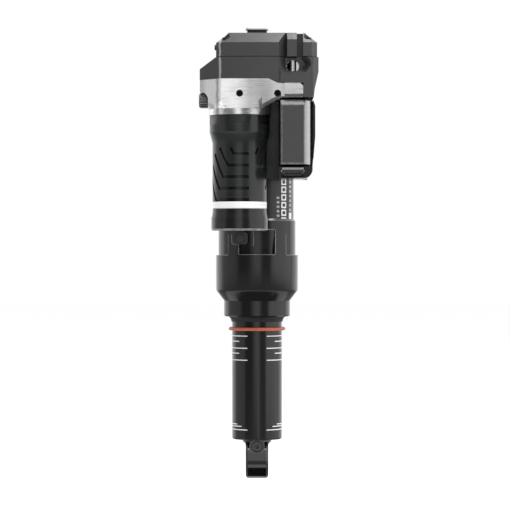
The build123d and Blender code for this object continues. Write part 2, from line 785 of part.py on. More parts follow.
with BuildPart() as head_plugs:
    with BuildSketch(front_plane(FRONT_Y + 5.4)):
        with Locations(*FRONT_HOLES):
            Circle(FRONT_HOLE_R)
    extrude(amount=4.6)
    with BuildSketch(front_plane(FRONT_Y + 0.8)):
        with Locations(*FRONT_HOLES):
            RegularPolygon(radius=1.25, side_count=6)
    extrude(amount=-2.0, mode=Mode.SUBTRACT)
keep(head_plugs, "head_plugs")

with BuildPart() as head_seal:
    with BuildSketch(FROM_FRONT):
        with Locations((CAN_R + 0.75, HEAD_BOTTOM - 0.55)):
            Circle(0.55)
    revolve(axis=Axis.Z)
keep(head_seal, "head_seal")

# ------------------------------------------------------------------ air valve
with BuildPart() as air_valve:
    with BuildSketch(front_plane(HEAD_CAP_R - 3.5)):
        with Locations((0, AIR_VALVE_Z)):
            Circle(2.6)
    extrude(amount=-5.5)
    with BuildSketch(front_plane(HEAD_CAP_R + 2.0)):
        with Locations((0, AIR_VALVE_Z)):
            RegularPolygon(radius=4.0, side_count=6)
    extrude(amount=-1.6)
    with BuildSketch(front_plane(HEAD_CAP_R + 3.6)):
        with Locations((0, AIR_VALVE_Z)):
            Circle(2.5)
    extrude(amount=-4.0)
keep(air_valve, "air_valve")
with BuildPart() as air_valve_cap:
    with BuildSketch(front_plane(HEAD_CAP_R + 3.7)):
        with Locations((0, AIR_VALVE_Z)):
            Circle(4.2)
            with PolarLocations(4.4, 12):
                Circle(0.5, mode=Mode.SUBTRACT)
    extrude(amount=-5.6)
    fillet(air_valve_cap.edges().group_by(Axis.Y)[-1], radius=0.2)
    with BuildSketch(front_plane(HEAD_CAP_R + 3.6)):
        with Locations((0, AIR_VALVE_Z)):
            Circle(2.55)
    extrude(amount=-4.2, mode=Mode.SUBTRACT)
keep(air_valve_cap, "air_valve_cap")

# ------------------------------------------------------------------ rebound dial
with BuildPart() as rebound_dial:
    with BuildSketch(FROM_RIGHT.offset(DIAL_INNER_X)):
        with Locations((DIAL_Y, DIAL_Z)):
            Circle(DIAL_R)
    extrude(amount=DIAL_OUTER_X - DIAL_INNER_X)
    fillet(rebound_dial.edges().group_by(Axis.X)[0], radius=1.3)
    with BuildSketch(FROM_RIGHT.offset(DIAL_INNER_X + 1)):
        with Locations((DIAL_Y, DIAL_Z)):
            with PolarLocations(DIAL_R + 0.12, 18):
                Circle(0.42)
    extrude(amount=-8, mode=Mode.SUBTRACT)
keep(rebound_dial, "rebound_dial")
with BuildPart() as dial_stem:
    with BuildSketch(FROM_RIGHT.offset(DIAL_INNER_X)):
        with Locations((DIAL_Y, DIAL_Z)):
            Circle(1.5)
    extrude(amount=7.0)
keep(dial_stem, "dial_stem")

# ------------------------------------------------------------------ motor-driven valve
turned(
    "valve_spool",
    [
        (0, 197.3),
        (4.0 - TURN_FIT, 197.3),
        (4.0 - TURN_FIT, 198.0),
        (2.6, 198.0),
        (2.6, 200.4),
        (4.0 - TURN_FIT, 200.4),
        (4.0 - TURN_FIT, 210.0),
        (0, 210.0),
    ],
    (VALVE_X, VALVE_Y),
)
turned(
    "motor_coupling",
    [
        (0, 210.0),
        (3.4, 210.0),
        (3.4, 213.8),
        (1.0, 213.8),
        (1.0, 218.0),
        (0, 218.0),
    ],
    (VALVE_X, VALVE_Y),
)
turned(
    "servo_motor",
    [
        (1.4, 214.4),
        (6.6, 214.4),
        (6.6, 223.6),
        (0, 223.6),
        (0, 218.6),
        (1.4, 218.6),
    ],
    (VALVE_X, VALVE_Y),
)


# ================================================================== electronic module
def facet_start(z):
    """Where the front left facet starts on the front face: it leans outwards going down."""
    return CREASE_X + FACET_LEAN * (z - HEAD_TOP)


def facet_plan(z):
    """Outline of what lies outside the front left facet at height z."""
    start = facet_start(z)
    reach = 12.6
    return [
        (start, FRONT_Y),
        (start - reach, FRONT_Y + reach * FACET_SLOPE),
        (start - reach, FRONT_Y - reach),
        (start, FRONT_Y - reach),
    ]


CAVITY_PLAN = [
    (-15.2, -53.0),
    (9.5, -53.0),
    (9.5, -40.0),
    (MODULE_RIGHT - WALL, -40.0),
    (MODULE_RIGHT - WALL, MODULE_BACK - WALL),
    (MODULE_LEFT + WALL, MODULE_BACK - WALL),
    (MODULE_LEFT + WALL, -48.4),
]
SCREW_PLACES = [
    (SCREW_LEFT, SCREW_FRONT),
    (SCREW_RIGHT, SCREW_FRONT),
    (SCREW_LEFT, SCREW_BACK),
    (SCREW_RIGHT, SCREW_BACK),
]

with BuildPart() as module_housing:
    # body over the head, with the left shoulder that follows the head's lobe
    with BuildSketch(Plane.XY.offset(HEAD_TOP)):
        with BuildLine():
            Polyline(
                (CREASE_X - 0.2, FRONT_Y),
                (LOBE_LEFT - 0.1, -43.0),
                (LOBE_LEFT - 0.1, -20.0),
                (MODULE_LEFT, -13.0),
                (MODULE_LEFT, MODULE_BACK - 4),
                (MODULE_LEFT + 4, MODULE_BACK),
                (20.0, MODULE_BACK),
                (24.0, MODULE_BACK - 4),
                (24.0, -13.0),
                (FLANK_X, -18.0),
                (FLANK_X, FRONT_Y + 3.0),
                (FLANK_X - 3.0, FRONT_Y),
                close=True,
            )
        make_face()
    extrude(amount=HOUSING_TOP - HEAD_TOP)
    # flare under the wider rear of the cover
    with BuildSketch(Plane.XY.offset(HOUSING_TOP - 4.0)):
        with BuildLine():
            Polyline(
                (20.0, -20.0),
                (MODULE_RIGHT, -20.0),
                (MODULE_RIGHT, MODULE_BACK - 5),
                (MODULE_RIGHT - 5, MODULE_BACK),
                (20.0, MODULE_BACK),
                close=True,
            )
        make_face()
    extrude(amount=4.0)
    # arm at the right that reaches down beside the head
    with BuildSketch(Plane.XY.offset(PANEL_BOTTOM + 0.1)):
        with BuildLine():
            Polyline(
                (ARM_LEFT, FRONT_Y),
                (FLANK_X - 3.0, FRONT_Y),
                (FLANK_X, FRONT_Y + 3.0),
                (FLANK_X, -18.0),
                (ARM_LEFT, -18.0),
                close=True,
            )
        make_face()
    extrude(amount=HEAD_TOP - PANEL_BOTTOM)
    # lip that hangs in the head's notch
    with BuildSketch(front_plane(-50.0)):
        with BuildLine():
            Polyline(
                (6.3, HEAD_TOP),
                (11.3, PANEL_TOP + 0.1),
                (ARM_LEFT + 0.1, PANEL_TOP + 0.1),
                (ARM_LEFT + 0.1, HEAD_TOP),
                close=True,
            )
        make_face()
    extrude(amount=-50.0 - FRONT_Y)
    # sloping top of the left shoulder
    with BuildSketch(front_plane(0)):
        with BuildLine():
            Polyline(
                (MODULE_LEFT - 0.3, HOUSING_TOP),
                (LOBE_LEFT - 0.1, SHOULDER_Z),
                (LOBE_LEFT - 5, SHOULDER_Z),
                (LOBE_LEFT - 5, COVER_SHOULDER),
                (MODULE_LEFT - 0.3, COVER_SHOULDER),
                close=True,
            )
        make_face()
    extrude(amount=60, mode=Mode.SUBTRACT)
    # right flank: leans in below its widest line
    with BuildSketch(front_plane(40)):
        with BuildLine():
            Polyline(
                (FLANK_X, FLANK_WIDEST_Z),
                (31.3, SHOCK_LENGTH),
                (30.6, PANEL_BOTTOM - 1),
                (40, PANEL_BOTTOM - 1),
                (40, FLANK_WIDEST_Z),
                close=True,
            )
        make_face()
    extrude(amount=120, mode=Mode.SUBTRACT)
    with BuildSketch(Plane.XY.offset(HEAD_TOP - 1)):
        with BuildLine():
            Polyline(*facet_plan(HEAD_TOP - 1), close=True)
        make_face()
    with BuildSketch(Plane.XY.offset(HOUSING_TOP + 1)):
        with BuildLine():
            Polyline(*facet_plan(HOUSING_TOP + 1), close=True)
        make_face()
    loft(mode=Mode.SUBTRACT)
    # saddle over the trunnion bosses
    with BuildSketch(FROM_RIGHT.offset(-40)):
        with Locations((0, SHOCK_LENGTH)):
            Circle(TRUNNION_BOSS_R + 0.1)
    extrude(amount=80, mode=Mode.SUBTRACT)
    # inside
    with BuildSketch(Plane.XY.offset(HEAD_TOP + 1.8)):
        with BuildLine():
            Polyline(
                (-16.0, -52.0),
                (9.5, -52.0),
                (9.5, -40.0),
                (22.0, -40.0),
                (22.0, -13.5),
                (-20.0, -13.5),
                (-20.0, -48.0),
                close=True,
            )
        make_face()
    extrude(amount=20, mode=Mode.SUBTRACT)
    with BuildSketch(Plane.XY.offset(216.6)):
        with Locations((0.8, -1.0)):
            Rectangle(41.5, 27.0)
    extrude(amount=20, mode=Mode.SUBTRACT)
    with BuildSketch(Plane((VALVE_X, VALVE_Y, HEAD_TOP - 1))):
        Circle(4.0)
    extrude(amount=6, mode=Mode.SUBTRACT)
    # front pocket around the fixing screw, with sloping walls
    with BuildSketch(front_plane(FRONT_Y)):
        with BuildLine():
            Polyline(
                (CHANNEL_LEFT, 226.0),
                (CHANNEL_LEFT, 216.8),
                (14.6, 213.4),
                (26.3, 213.4),
                (29.4, 217.6),
                (29.4, 219.6),
                (CHANNEL_RIGHT, 226.0),
                close=True,
            )
        make_face()
    extrude(amount=-7.0, taper=24, mode=Mode.SUBTRACT)
    with BuildSketch(front_plane(FRONT_Y + POCKET_BACK)):
        with Locations((POCKET_X, POCKET_Z)):
            Circle(POCKET_BORE_R)
    extrude(amount=20, mode=Mode.SUBTRACT)
    # upright groove left of the pocket
    with BuildSketch(front_plane(FRONT_Y + 0.9)):
        with Locations((12.3, 212.0)):
            Rectangle(1.0, 24.0)
    extrude(amount=5, mode=Mode.SUBTRACT)
    with BuildSketch(Plane.XY.offset(HOUSING_TOP - 8)):
        with Locations(*SCREW_PLACES):
            Circle(1.1)
    extrude(amount=20, mode=Mode.SUBTRACT)
keep(module_housing, "module_housing")

with BuildPart() as module_gasket:
    with BuildSketch(Plane.XY.offset(HOUSING_TOP)):
        with BuildLine():
            Polyline(
                (CREASE_X + 1.8, FRONT_Y + 0.5),
                (MODULE_LEFT + 0.5, -50.6),
                (MODULE_LEFT + 0.5, MODULE_BACK - 4),
                (MODULE_LEFT + 4, MODULE_BACK - 0.5),
                (MODULE_RIGHT - 5, MODULE_BACK - 0.5),
                (MODULE_RIGHT - 0.5, MODULE_BACK - 5),
                (MODULE_RIGHT - 0.5, FRONT_Y + 3.0),
                (30.0, FRONT_Y + 0.5),
                (25.5, FRONT_Y + 0.5),
                (25.5, -41.5),
                (11.0, -41.5),
                (11.0, FRONT_Y + 0.5),
                close=True,
            )
        make_face()
        with BuildLine():
            Polyline(*CAVITY_PLAN, close=True)
        make_face(mode=Mode.SUBTRACT)
        with Locations(*SCREW_PLACES):
            Circle(1.2, mode=Mode.SUBTRACT)
    extrude(amount=COVER_BOTTOM - HOUSING_TOP)
keep(module_gasket, "module_gasket")


def cover_plan(corner_x):
    """Outline of the cover, whose front left facet starts at corner_x on the front face."""
    facet = corner_x - MODULE_LEFT
    return [
        (corner_x, FRONT_Y),
        (MODULE_LEFT, FRONT_Y + facet * FACET_SLOPE),
        (MODULE_LEFT, MODULE_BACK - 5),
        (MODULE_LEFT + 5, MODULE_BACK),
        (MODULE_RIGHT - 5, MODULE_BACK),
        (MODULE_RIGHT, MODULE_BACK - 5),
        (MODULE_RIGHT, FRONT_Y + 3.0),
        (MODULE_RIGHT - 3.0, FRONT_Y),
    ]


with BuildPart() as module_cover:
    with BuildSketch(Plane.XY.offset(COVER_BOTTOM)):
        with BuildLine():
            Polyline(*cover_plan(facet_start(COVER_BOTTOM)), close=True)
        make_face()
    with BuildSketch(Plane.XY.offset(COVER_SHOULDER)):
        with BuildLine():
            Polyline(*cover_plan(facet_start(COVER_SHOULDER)), close=True)
        make_face()
    loft()
    # wide chamfer all round the top
    with BuildSketch(Plane.XY.offset(COVER_SHOULDER)):
        with BuildLine():
            Polyline(*cover_plan(facet_start(COVER_SHOULDER)), close=True)
        make_face()
    with BuildSketch(Plane.XY.offset(COVER_TOP)):
        with BuildLine():
            Polyline(*cover_plan(facet_start(COVER_SHOULDER)), close=True)
        make_face()
        offset(amount=-COVER_CHAMFER, kind=Kind.INTERSECTION)
    loft()
    # inside
    with BuildSketch(Plane.XY.offset(COVER_BOTTOM)):
        with BuildLine():
            Polyline(*CAVITY_PLAN, close=True)
        make_face()
    extrude(amount=COVER_SHOULDER - 0.8 - COVER_BOTTOM, mode=Mode.SUBTRACT)
    with BuildSketch(Plane.XY.offset(COVER_SHOULDER - 0.8)):
        with BuildLine():
            Polyline(*CAVITY_PLAN, close=True)
        make_face()
    with BuildSketch(Plane.XY.offset(COVER_TOP - 2.0)):
        with BuildLine():
            Polyline(*CAVITY_PLAN, close=True)
        make_face()
        offset(amount=-5.0, kind=Kind.INTERSECTION)
    loft(mode=Mode.SUBTRACT)
    # front channel with a rib in it and a deep slot beside the rib
    with BuildSketch(Plane.XY.offset(COVER_BOTTOM)):
        with BuildLine():
            Polyline(
                (CHANNEL_LEFT - 0.2, FRONT_Y - 2),
                (CHANNEL_LEFT - 0.2, FRONT_Y + 0.8),
                (16.2, -47.5),
                (16.4, -47.5),
                (16.4, -53.4),
                (21.6, -53.4),
                (21.6, -43.0),
                (CHANNEL_RIGHT, -43.0),
                (CHANNEL_RIGHT, FRONT_Y - 2),
                close=True,
            )
        make_face()
    extrude(amount=20, mode=Mode.SUBTRACT)
    # screw seats that break out through the sloping corners
    with BuildSketch(Plane.XY.offset(231.0)):
        with Locations(*SCREW_PLACES):
            Circle(2.2)
    extrude(amount=10, mode=Mode.SUBTRACT)
    with BuildSketch(Plane.XY.offset(COVER_BOTTOM)):
        with Locations(*SCREW_PLACES):
            Circle(1.2)
    extrude(amount=20, mode=Mode.SUBTRACT)
    # holes for the top button, the side button and the light
    with BuildSketch(Plane.XY.offset(COVER_BOTTOM)):
        with Locations((0, BUTTON_Y)):
            RectangleRounded(11.6, 7.6, 1.5)
        with Locations((-12.0, BUTTON_Y)):
            Circle(1.5)
    extrude(amount=20, mode=Mode.SUBTRACT)
    with BuildSketch(FROM_RIGHT.offset(MODULE_LEFT - 2)):
        with Locations((SIDE_BUTTON_Y, SIDE_BUTTON_Z)):
            Circle(SIDE_BUTTON_R + 0.1)
    extrude(amount=8, mode=Mode.SUBTRACT)
keep(module_cover, "module_cover")

with BuildPart() as cover_screws:
    for x, y in SCREW_PLACES:
        with BuildSketch(Plane((x, y, 231.0))):
            Circle(1.95)
        extrude(amount=1.9)
        with BuildSketch(Plane((x, y, 216.0))):
            Circle(1.05)
        extrude(amount=15.0)
        with BuildSketch(Plane((x, y, 232.9))):
            RegularPolygon(radius=1.1, side_count=6)
        extrude(amount=-1.2, mode=Mode.SUBTRACT)
keep(cover_screws, "cover_screws")

# fixing screw: a round flange with an upright slotted tongue
with BuildPart() as module_screw:
    with BuildSketch(front_plane(FRONT_Y + POCKET_BACK)):
        with Locations((POCKET_X, POCKET_Z)):
            Circle(POCKET_BORE_R - 0.05)
    extrude(amount=0.8)
    with BuildSketch(Plane((POCKET_X, FRONT_Y + POCKET_BACK - 1.95, POCKET_Z - 2.9))):
        Circle(1.9)
    extrude(amount=5.8)
    with BuildSketch(front_plane(FRONT_Y + POCKET_BACK - 2.7)):
        with Locations((POCKET_X, POCKET_Z)):
            Rectangle(1.1, 2 * POCKET_BORE_R)
    extrude(amount=4, mode=Mode.SUBTRACT)
keep(module_screw, "module_screw")

with BuildPart() as circuit_board:
    with BuildSketch(Plane.XY.offset(225.0)):
        with Locations((3.0, -16.0)):
            Rectangle(44.0, 44.0)
        with Locations((26.0, -40.0)):
            Rectangle(12.0, 6.0, mode=Mode.SUBTRACT)
    extrude(amount=1.6)
keep(circuit_board, "circuit_board")
with BuildPart() as board_chips:
    with BuildSketch(Plane.XY.offset(226.6)):
        with Locations((-8.0, -8.0)):
            Rectangle(9.0, 9.0)
        with Locations((10.0, -12.0)):
            Rectangle(7.0, 5.0)
        with Locations((12.0, 0.0)):
            Rectangle(11.0, 8.0)
        with Locations((0, BUTTON_Y)):
            Rectangle(6.0, 6.0)
        with Locations((-12.0, BUTTON_Y)):
            Rectangle(2.0, 2.0)
    extrude(amount=1.8)
keep(board_chips, "board_chips")
ring("status_lens", 1.5, 0, 228.6, COVER_TOP + 0.2, (-12.0, BUTTON_Y))

with BuildPart() as mode_button:
    with BuildSketch(Plane.XY.offset(BUTTON_TOP - 1.5)):
        with Locations((0, BUTTON_Y)):
            RectangleRounded(12.6, 8.6, 2.0)
    extrude(amount=1.5)
    chamfer(mode_button.edges().group_by(Axis.Z)[-1], length=0.35)
keep(mode_button, "mode_button")
with BuildPart() as mode_button_stem:
    with BuildSketch(Plane.XY.offset(231.0)):
        with Locations((0, BUTTON_Y)):
            RectangleRounded(10.9, 6.9, 1.2)
    extrude(amount=BUTTON_TOP - 1.5 - 231.0)
keep(mode_button_stem, "mode_button_stem")
with BuildPart() as side_button:
    with BuildSketch(FROM_RIGHT.offset(MODULE_LEFT - 1.0)):
        with Locations((SIDE_BUTTON_Y, SIDE_BUTTON_Z)):
            Circle(SIDE_BUTTON_R)
    extrude(amount=2.6)
    fillet(side_button.edges().group_by(Axis.X)[0], radius=0.3)
keep(side_button, "side_button")

# ================================================================== battery dock
with BuildPart() as battery_dock:
    # back plate, with a raised pad whose lower left edge is curved
    with BuildSketch(front_plane(DOCK_BACK)):
        with BuildLine():
            Polyline(
                (5.4, 195.8),
                (5.4, 157.2),
                (12.8, DOCK_BOTTOM),
                (27.6, DOCK_BOTTOM),
                (30.8, 163.0),
                (DOCK_RIGHT, 180.0),
                (DOCK_RIGHT, 197.2),
                (DOCK_RIGHT - 1.0, DOCK_TOP),
                (13.4, DOCK_TOP),
                close=True,
            )
        make_face()
    extrude(amount=2.0)
    with BuildSketch(front_plane(DOCK_BACK - 2.0)):
        with BuildLine():
            Line((8.7, 197.4), (8.7, 176.0))
            ThreePointArc((8.7, 176.0), (9.5, 165.0), (12.4, 157.4))
            Polyline(
                (12.4, 157.4),
                (27.6, 157.4),
                (30.4, 163.0),
                (30.9, 180.0),
                (30.9, DOCK_TOP),
                (13.4, DOCK_TOP),
                (8.7, 197.4),
            )
        make_face()
    extrude(amount=-DOCK_FRONT + DOCK_BACK - 2.0)
    # side wall at the right of the battery
    with BuildSketch(front_plane(DOCK_BACK)):
        with BuildLine():
            Polyline(
                (31.0, DOCK_TOP),
                (31.0, 168.0),
                (31.2, 168.0),
                (DOCK_RIGHT, 180.0),
                (DOCK_RIGHT, 197.2),
                (DOCK_RIGHT - 1.0, DOCK_TOP),
                close=True,
            )
        make_face()
    extrude(amount=9.0)
    # hood that joins the plate to the module's arm and the head
    with BuildSketch(front_plane(DOCK_BACK)):
        with BuildLine():
            Polyline((13.4, DOCK_TOP), (13.4, 204.4), (25.0, 204.4), (25.0, DOCK_TOP), close=True)
        make_face()
    extrude(amount=28.6)
    # shelf and cheeks that carry the latch
    with BuildSketch(front_plane(DOCK_BACK)):
        with BuildLine():
            Line((12.0, DOCK_SHELF_TOP), (30.2, DOCK_SHELF_TOP))
            Line((30.2, DOCK_SHELF_TOP), (30.2, 161.4))
            ThreePointArc((30.2, 161.4), (28.9, 158.0), (25.6, DOCK_BOTTOM))
            Line((25.6, DOCK_BOTTOM), (12.0, DOCK_BOTTOM))
            Line((12.0, DOCK_BOTTOM), (12.0, DOCK_SHELF_TOP))
        make_face()
    extrude(amount=30.6)
    with BuildSketch(front_plane(-45.8)):
        with Locations(((LATCH_LEFT + LATCH_RIGHT) / 2, 159.5)):
            Rectangle(LATCH_RIGHT - LATCH_LEFT + 0.8, 9.0)
    extrude(amount=10, mode=Mode.SUBTRACT)
    # hole of the latch pin
    with BuildSketch(FROM_RIGHT.offset(12.4)):
        with Locations((LATCH_Y, LATCH_Z)):
            Circle(LATCH_PIN_R)
    extrude(amount=15.6, mode=Mode.SUBTRACT)
    # hollow back that clears the head's cap and its seal
    with BuildSketch(Plane.XY.offset(HEAD_BOTTOM - 1.4)):
        Circle(HEAD_CAP_R + 0.05)
    extrude(amount=9.5, mode=Mode.SUBTRACT)
    # seats of the two fixing screws
    with BuildSketch(front_plane(DOCK_BACK)):
        with Locations((21.0, 172.0), (21.0, 184.0)):
            Circle(1.6)
    extrude(amount=4, mode=Mode.SUBTRACT)
keep(battery_dock, "battery_dock")

with BuildPart() as dock_screws:
    with BuildSketch(front_plane(DOCK_BACK)):
        with Locations((21.0, 172.0), (21.0, 184.0)):
            Circle(1.6)
    extrude(amount=2.7)
keep(dock_screws, "dock_screws")
with BuildPart() as dock_contacts:
    with BuildSketch(front_plane(DOCK_FRONT)):
        with Locations((16.0, 193.0), (19.3, 193.0), (22.6, 193.0), (25.9, 193.0)):
            Circle(0.8)
    extrude(amount=0.9)
keep(dock_contacts, "dock_contacts")
with BuildPart() as latch_pin:
    with BuildSketch(FROM_RIGHT.offset(12.4)):
        with Locations((LATCH_Y, LATCH_Z)):
            Circle(LATCH_PIN_R)
    extrude(amount=15.6)
keep(latch_pin, "latch_pin")

# ------------------------------------------------------------------ battery
BATTERY_PLAN = [
    (BATTERY_LEFT + 0.7, BATTERY_FRONT),
    (25.7, BATTERY_FRONT),
    (BATTERY_RIGHT, -46.0),
    (BATTERY_RIGHT, BATTERY_BACK),
    (BATTERY_LEFT, BATTERY_BACK),
    (BATTERY_LEFT, BATTERY_FRONT + 1.2),
]
with BuildPart() as battery_case:
    with BuildSketch(Plane.XY.offset(BATTERY_BOTTOM)):
        with BuildLine():
            Polyline(*BATTERY_PLAN, close=True)
        make_face()
    extrude(amount=BATTERY_TOP - BATTERY_BOTTOM)
    front_top = battery_case.edges().filter_by(
        lambda e: abs(e.center().Y - BATTERY_FRONT) < 0.01 and abs(e.center().Z - BATTERY_TOP) < 0.01
    )
    chamfer(front_top, length=2.7, length2=1.8)
    front_low = battery_case.edges().filter_by(
        lambda e: abs(e.center().Y - BATTERY_FRONT) < 0.01 and abs(e.center().Z - BATTERY_BOTTOM) < 0.01
    )
    chamfer(front_low, length=0.6)
    # hollow for the cell
    with BuildSketch(Plane.XY.offset(BATTERY_BOTTOM + 1.5)):
        with Locations((20.4, -38.0)):
            Rectangle(13.4, 21.4)
    extrude(amount=BATTERY_TOP - BATTERY_BOTTOM - 4.5, mode=Mode.SUBTRACT)
keep(battery_case, "battery_case")
with BuildPart() as battery_cell:
    with BuildSketch(Plane.XY.offset(BATTERY_BOTTOM + 1.5)):
        with Locations((20.4, -38.0)):
            Rectangle(13.0, 21.0)
    extrude(amount=BATTERY_TOP - BATTERY_BOTTOM - 5.0)
keep(battery_cell, "battery_cell")
with BuildPart() as battery_rim:
    with BuildSketch(front_plane(BATTERY_BACK - 1.0)):
        with Locations(((BATTERY_LEFT + 30.5) / 2 - 0.3, (RIM_BOTTOM + RIM_TOP) / 2)):
            RectangleRounded(30.5 - BATTERY_LEFT + 0.6, RIM_TOP - RIM_BOTTOM, 0.9)
        with Locations(((BATTERY_LEFT + BATTERY_RIGHT) / 2, (BATTERY_BOTTOM + BATTERY_TOP) / 2)):
            Rectangle(BATTERY_RIGHT - BATTERY_LEFT, BATTERY_TOP - BATTERY_BOTTOM, mode=Mode.SUBTRACT)
    extrude(amount=2.4)
keep(battery_rim, "battery_rim")
with BuildPart() as battery_contacts:
    with BuildSketch(front_plane(BATTERY_BACK)):
        with Locations((16.0, 193.0), (19.3, 193.0), (22.6, 193.0), (25.9, 193.0)):
            Rectangle(1.8, 3.6)
    extrude(amount=-0.15)
keep(battery_contacts, "battery_contacts")

with BuildPart() as battery_latch:
    with BuildSketch(FROM_RIGHT.offset(LATCH_LEFT)):
        with BuildLine():
            Line((LATCH_Y, LATCH_Z + 2.0), (-54.2, LATCH_Z + 2.0))
            Line((-54.2, LATCH_Z + 2.0), (-55.2, LATCH_Z + 0.6))
            Line((-55.2, LATCH_Z + 0.6), (-55.0, LATCH_Z - 1.6))
            ThreePointArc((-55.0, LATCH_Z - 1.6), (-53.2, LATCH_Z - 3.5), (-50.5, LATCH_Z - 4.0))
            Line((-50.5, LATCH_Z - 4.0), (LATCH_Y, LATCH_Z - 2.0))
            ThreePointArc((LATCH_Y, LATCH_Z - 2.0), (LATCH_Y + 2.0, LATCH_Z), (LATCH_Y, LATCH_Z + 2.0))
        make_face()
        with Locations((LATCH_Y, LATCH_Z)):
            Circle(LATCH_PIN_R + TURN_FIT, mode=Mode.SUBTRACT)
    extrude(amount=LATCH_RIGHT - LATCH_LEFT)
    # finger groove under the lip
    with BuildSketch(FROM_RIGHT.offset(LATCH_LEFT + 1.2)):
        with Locations((-55.6, LATCH_Z - 2.2)):
            Circle(1.2)
    extrude(amount=LATCH_RIGHT - LATCH_LEFT - 2.4, mode=Mode.SUBTRACT)
keep(battery_latch, "battery_latch")
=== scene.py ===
import json
import math

import bmesh
import bpy
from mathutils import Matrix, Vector


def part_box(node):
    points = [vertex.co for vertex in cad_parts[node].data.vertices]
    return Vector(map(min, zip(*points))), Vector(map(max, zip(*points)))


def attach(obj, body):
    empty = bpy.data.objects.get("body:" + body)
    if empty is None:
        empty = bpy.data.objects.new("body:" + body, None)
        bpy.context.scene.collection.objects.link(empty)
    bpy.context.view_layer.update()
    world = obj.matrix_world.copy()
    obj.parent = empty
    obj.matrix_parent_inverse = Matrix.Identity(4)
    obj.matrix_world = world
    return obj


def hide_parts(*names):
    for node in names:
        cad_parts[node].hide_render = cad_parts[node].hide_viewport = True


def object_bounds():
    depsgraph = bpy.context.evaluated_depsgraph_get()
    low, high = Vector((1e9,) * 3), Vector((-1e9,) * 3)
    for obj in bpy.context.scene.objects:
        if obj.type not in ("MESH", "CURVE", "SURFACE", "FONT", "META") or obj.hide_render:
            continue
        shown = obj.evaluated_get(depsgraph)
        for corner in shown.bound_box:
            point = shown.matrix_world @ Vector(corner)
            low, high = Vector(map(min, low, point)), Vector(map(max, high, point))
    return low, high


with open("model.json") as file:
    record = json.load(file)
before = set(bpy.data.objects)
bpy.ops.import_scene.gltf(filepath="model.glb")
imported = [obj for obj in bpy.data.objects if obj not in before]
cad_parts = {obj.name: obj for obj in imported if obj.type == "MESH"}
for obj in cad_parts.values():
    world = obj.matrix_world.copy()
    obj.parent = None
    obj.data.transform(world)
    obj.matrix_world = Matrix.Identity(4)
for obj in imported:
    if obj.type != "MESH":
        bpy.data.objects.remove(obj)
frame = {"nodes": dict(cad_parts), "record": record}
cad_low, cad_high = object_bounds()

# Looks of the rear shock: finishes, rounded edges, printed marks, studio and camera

MM = 0.001
# reach of the lighter outer edges, partly wear and partly painted highlight
WEAR_AND_HIGHLIGHT_REACH = 0.5 * MM
SLEEVE_EDGE_LOW = 113.8 * MM
FADE = 0.5 * MM
FRONT_FULL = -46 * MM
FRONT_NONE = -40 * MM
BRUSH_WANDER = 0.3 * MM
ROLL_SCALE = 38.0
ROLL_HEIGHT = 4.5 * MM
# darkness of the painted shade on the reservoir groove floors
GROOVE_PAINTED_SHADE = 0.12
record = frame["record"]
bodies = record["behaviour"]["bodies"]
BODY_OF = {node: body for body, nodes in bodies.items() for node in nodes}
SLOT_OF = {row["node"]: row["material_slot"] for row in record["subparts"]}
scene = bpy.context.scene


# ------------------------------------------------------------------ material building blocks
def node(tree, kind, **settings):
    """Add a shader node and set its plain attributes."""
    made = tree.nodes.new(kind)
    for key, value in settings.items():
        setattr(made, key, value)
    return made


def noise(tree, scale, detail=4.0, stretch=(1, 1, 1), distortion=0.0):
    """Object-space noise, stretched along an axis where stretch is small there."""
    place = node(tree, "ShaderNodeTexCoord")
    mapping = node(tree, "ShaderNodeMapping")
    mapping.inputs["Scale"].default_value = stretch
    texture = node(tree, "ShaderNodeTexNoise")
    texture.inputs["Scale"].default_value = scale
    texture.inputs["Detail"].default_value = detail
    texture.inputs["Distortion"].default_value = distortion
    tree.links.new(place.outputs["Object"], mapping.inputs["Vector"])
    tree.links.new(mapping.outputs["Vector"], texture.inputs["Vector"])
    return texture.outputs["Fac"]


def remap(tree, value, low, high, from_low=0.3, from_high=0.7):
    """Spread a noise value over low to high."""
    scaled = node(tree, "ShaderNodeMapRange")
    scaled.inputs["From Min"].default_value = from_low
    scaled.inputs["From Max"].default_value = from_high
    scaled.inputs["To Min"].default_value = low
    scaled.inputs["To Max"].default_value = high
    tree.links.new(value, scaled.inputs["Value"])
    return scaled.outputs["Result"]


def blend_colours(tree, factor, first, second):
    """Mix two colours, each a tuple or a socket."""
    mix = node(tree, "ShaderNodeMix", data_type="RGBA")
    tree.links.new(factor, mix.inputs["Factor"])
    for socket, colour in ((mix.inputs["A"], first), (mix.inputs["B"], second)):
        if isinstance(colour, bpy.types.NodeSocket):
            tree.links.new(colour, socket)
        else:
            socket.default_value = (*colour, 1.0)
    return mix.outputs["Result"]


def object_axis(tree, axis):
    """One coordinate of the surface point, in metres."""
    place = node(tree, "ShaderNodeTexCoord")
    axes = node(tree, "ShaderNodeSeparateXYZ")
    tree.links.new(place.outputs["Object"], axes.inputs["Vector"])
    return axes.outputs[axis]


def edge_mask(tree, radius, gain, above=None):
    """One on outer edges and corners, zero on flats: the rounded normal against the true one.

    With above, only edges over that height in metres count.
    """
    rounded = node(tree, "ShaderNodeBevel", samples=4)
    rounded.inputs["Radius"].default_value = radius
    geometry = node(tree, "ShaderNodeNewGeometry")
    dot = node(tree, "ShaderNodeVectorMath", operation="DOT_PRODUCT")
    tree.links.new(rounded.outputs["Normal"], dot.inputs[0])
    tree.links.new(geometry.outputs["Normal"], dot.inputs[1])
    mask = remap(tree, dot.outputs["Value"], gain, 0.0, 0.94, 0.997)
    if above is None:
        return mask
    both = node(tree, "ShaderNodeMath", operation="MULTIPLY")
    tree.links.new(mask, both.inputs[0])
    height = object_axis(tree, "Z")
    tree.links.new(remap(tree, height, 0.0, 1.0, above, above + FADE), both.inputs[1])
    return both.outputs["Value"]


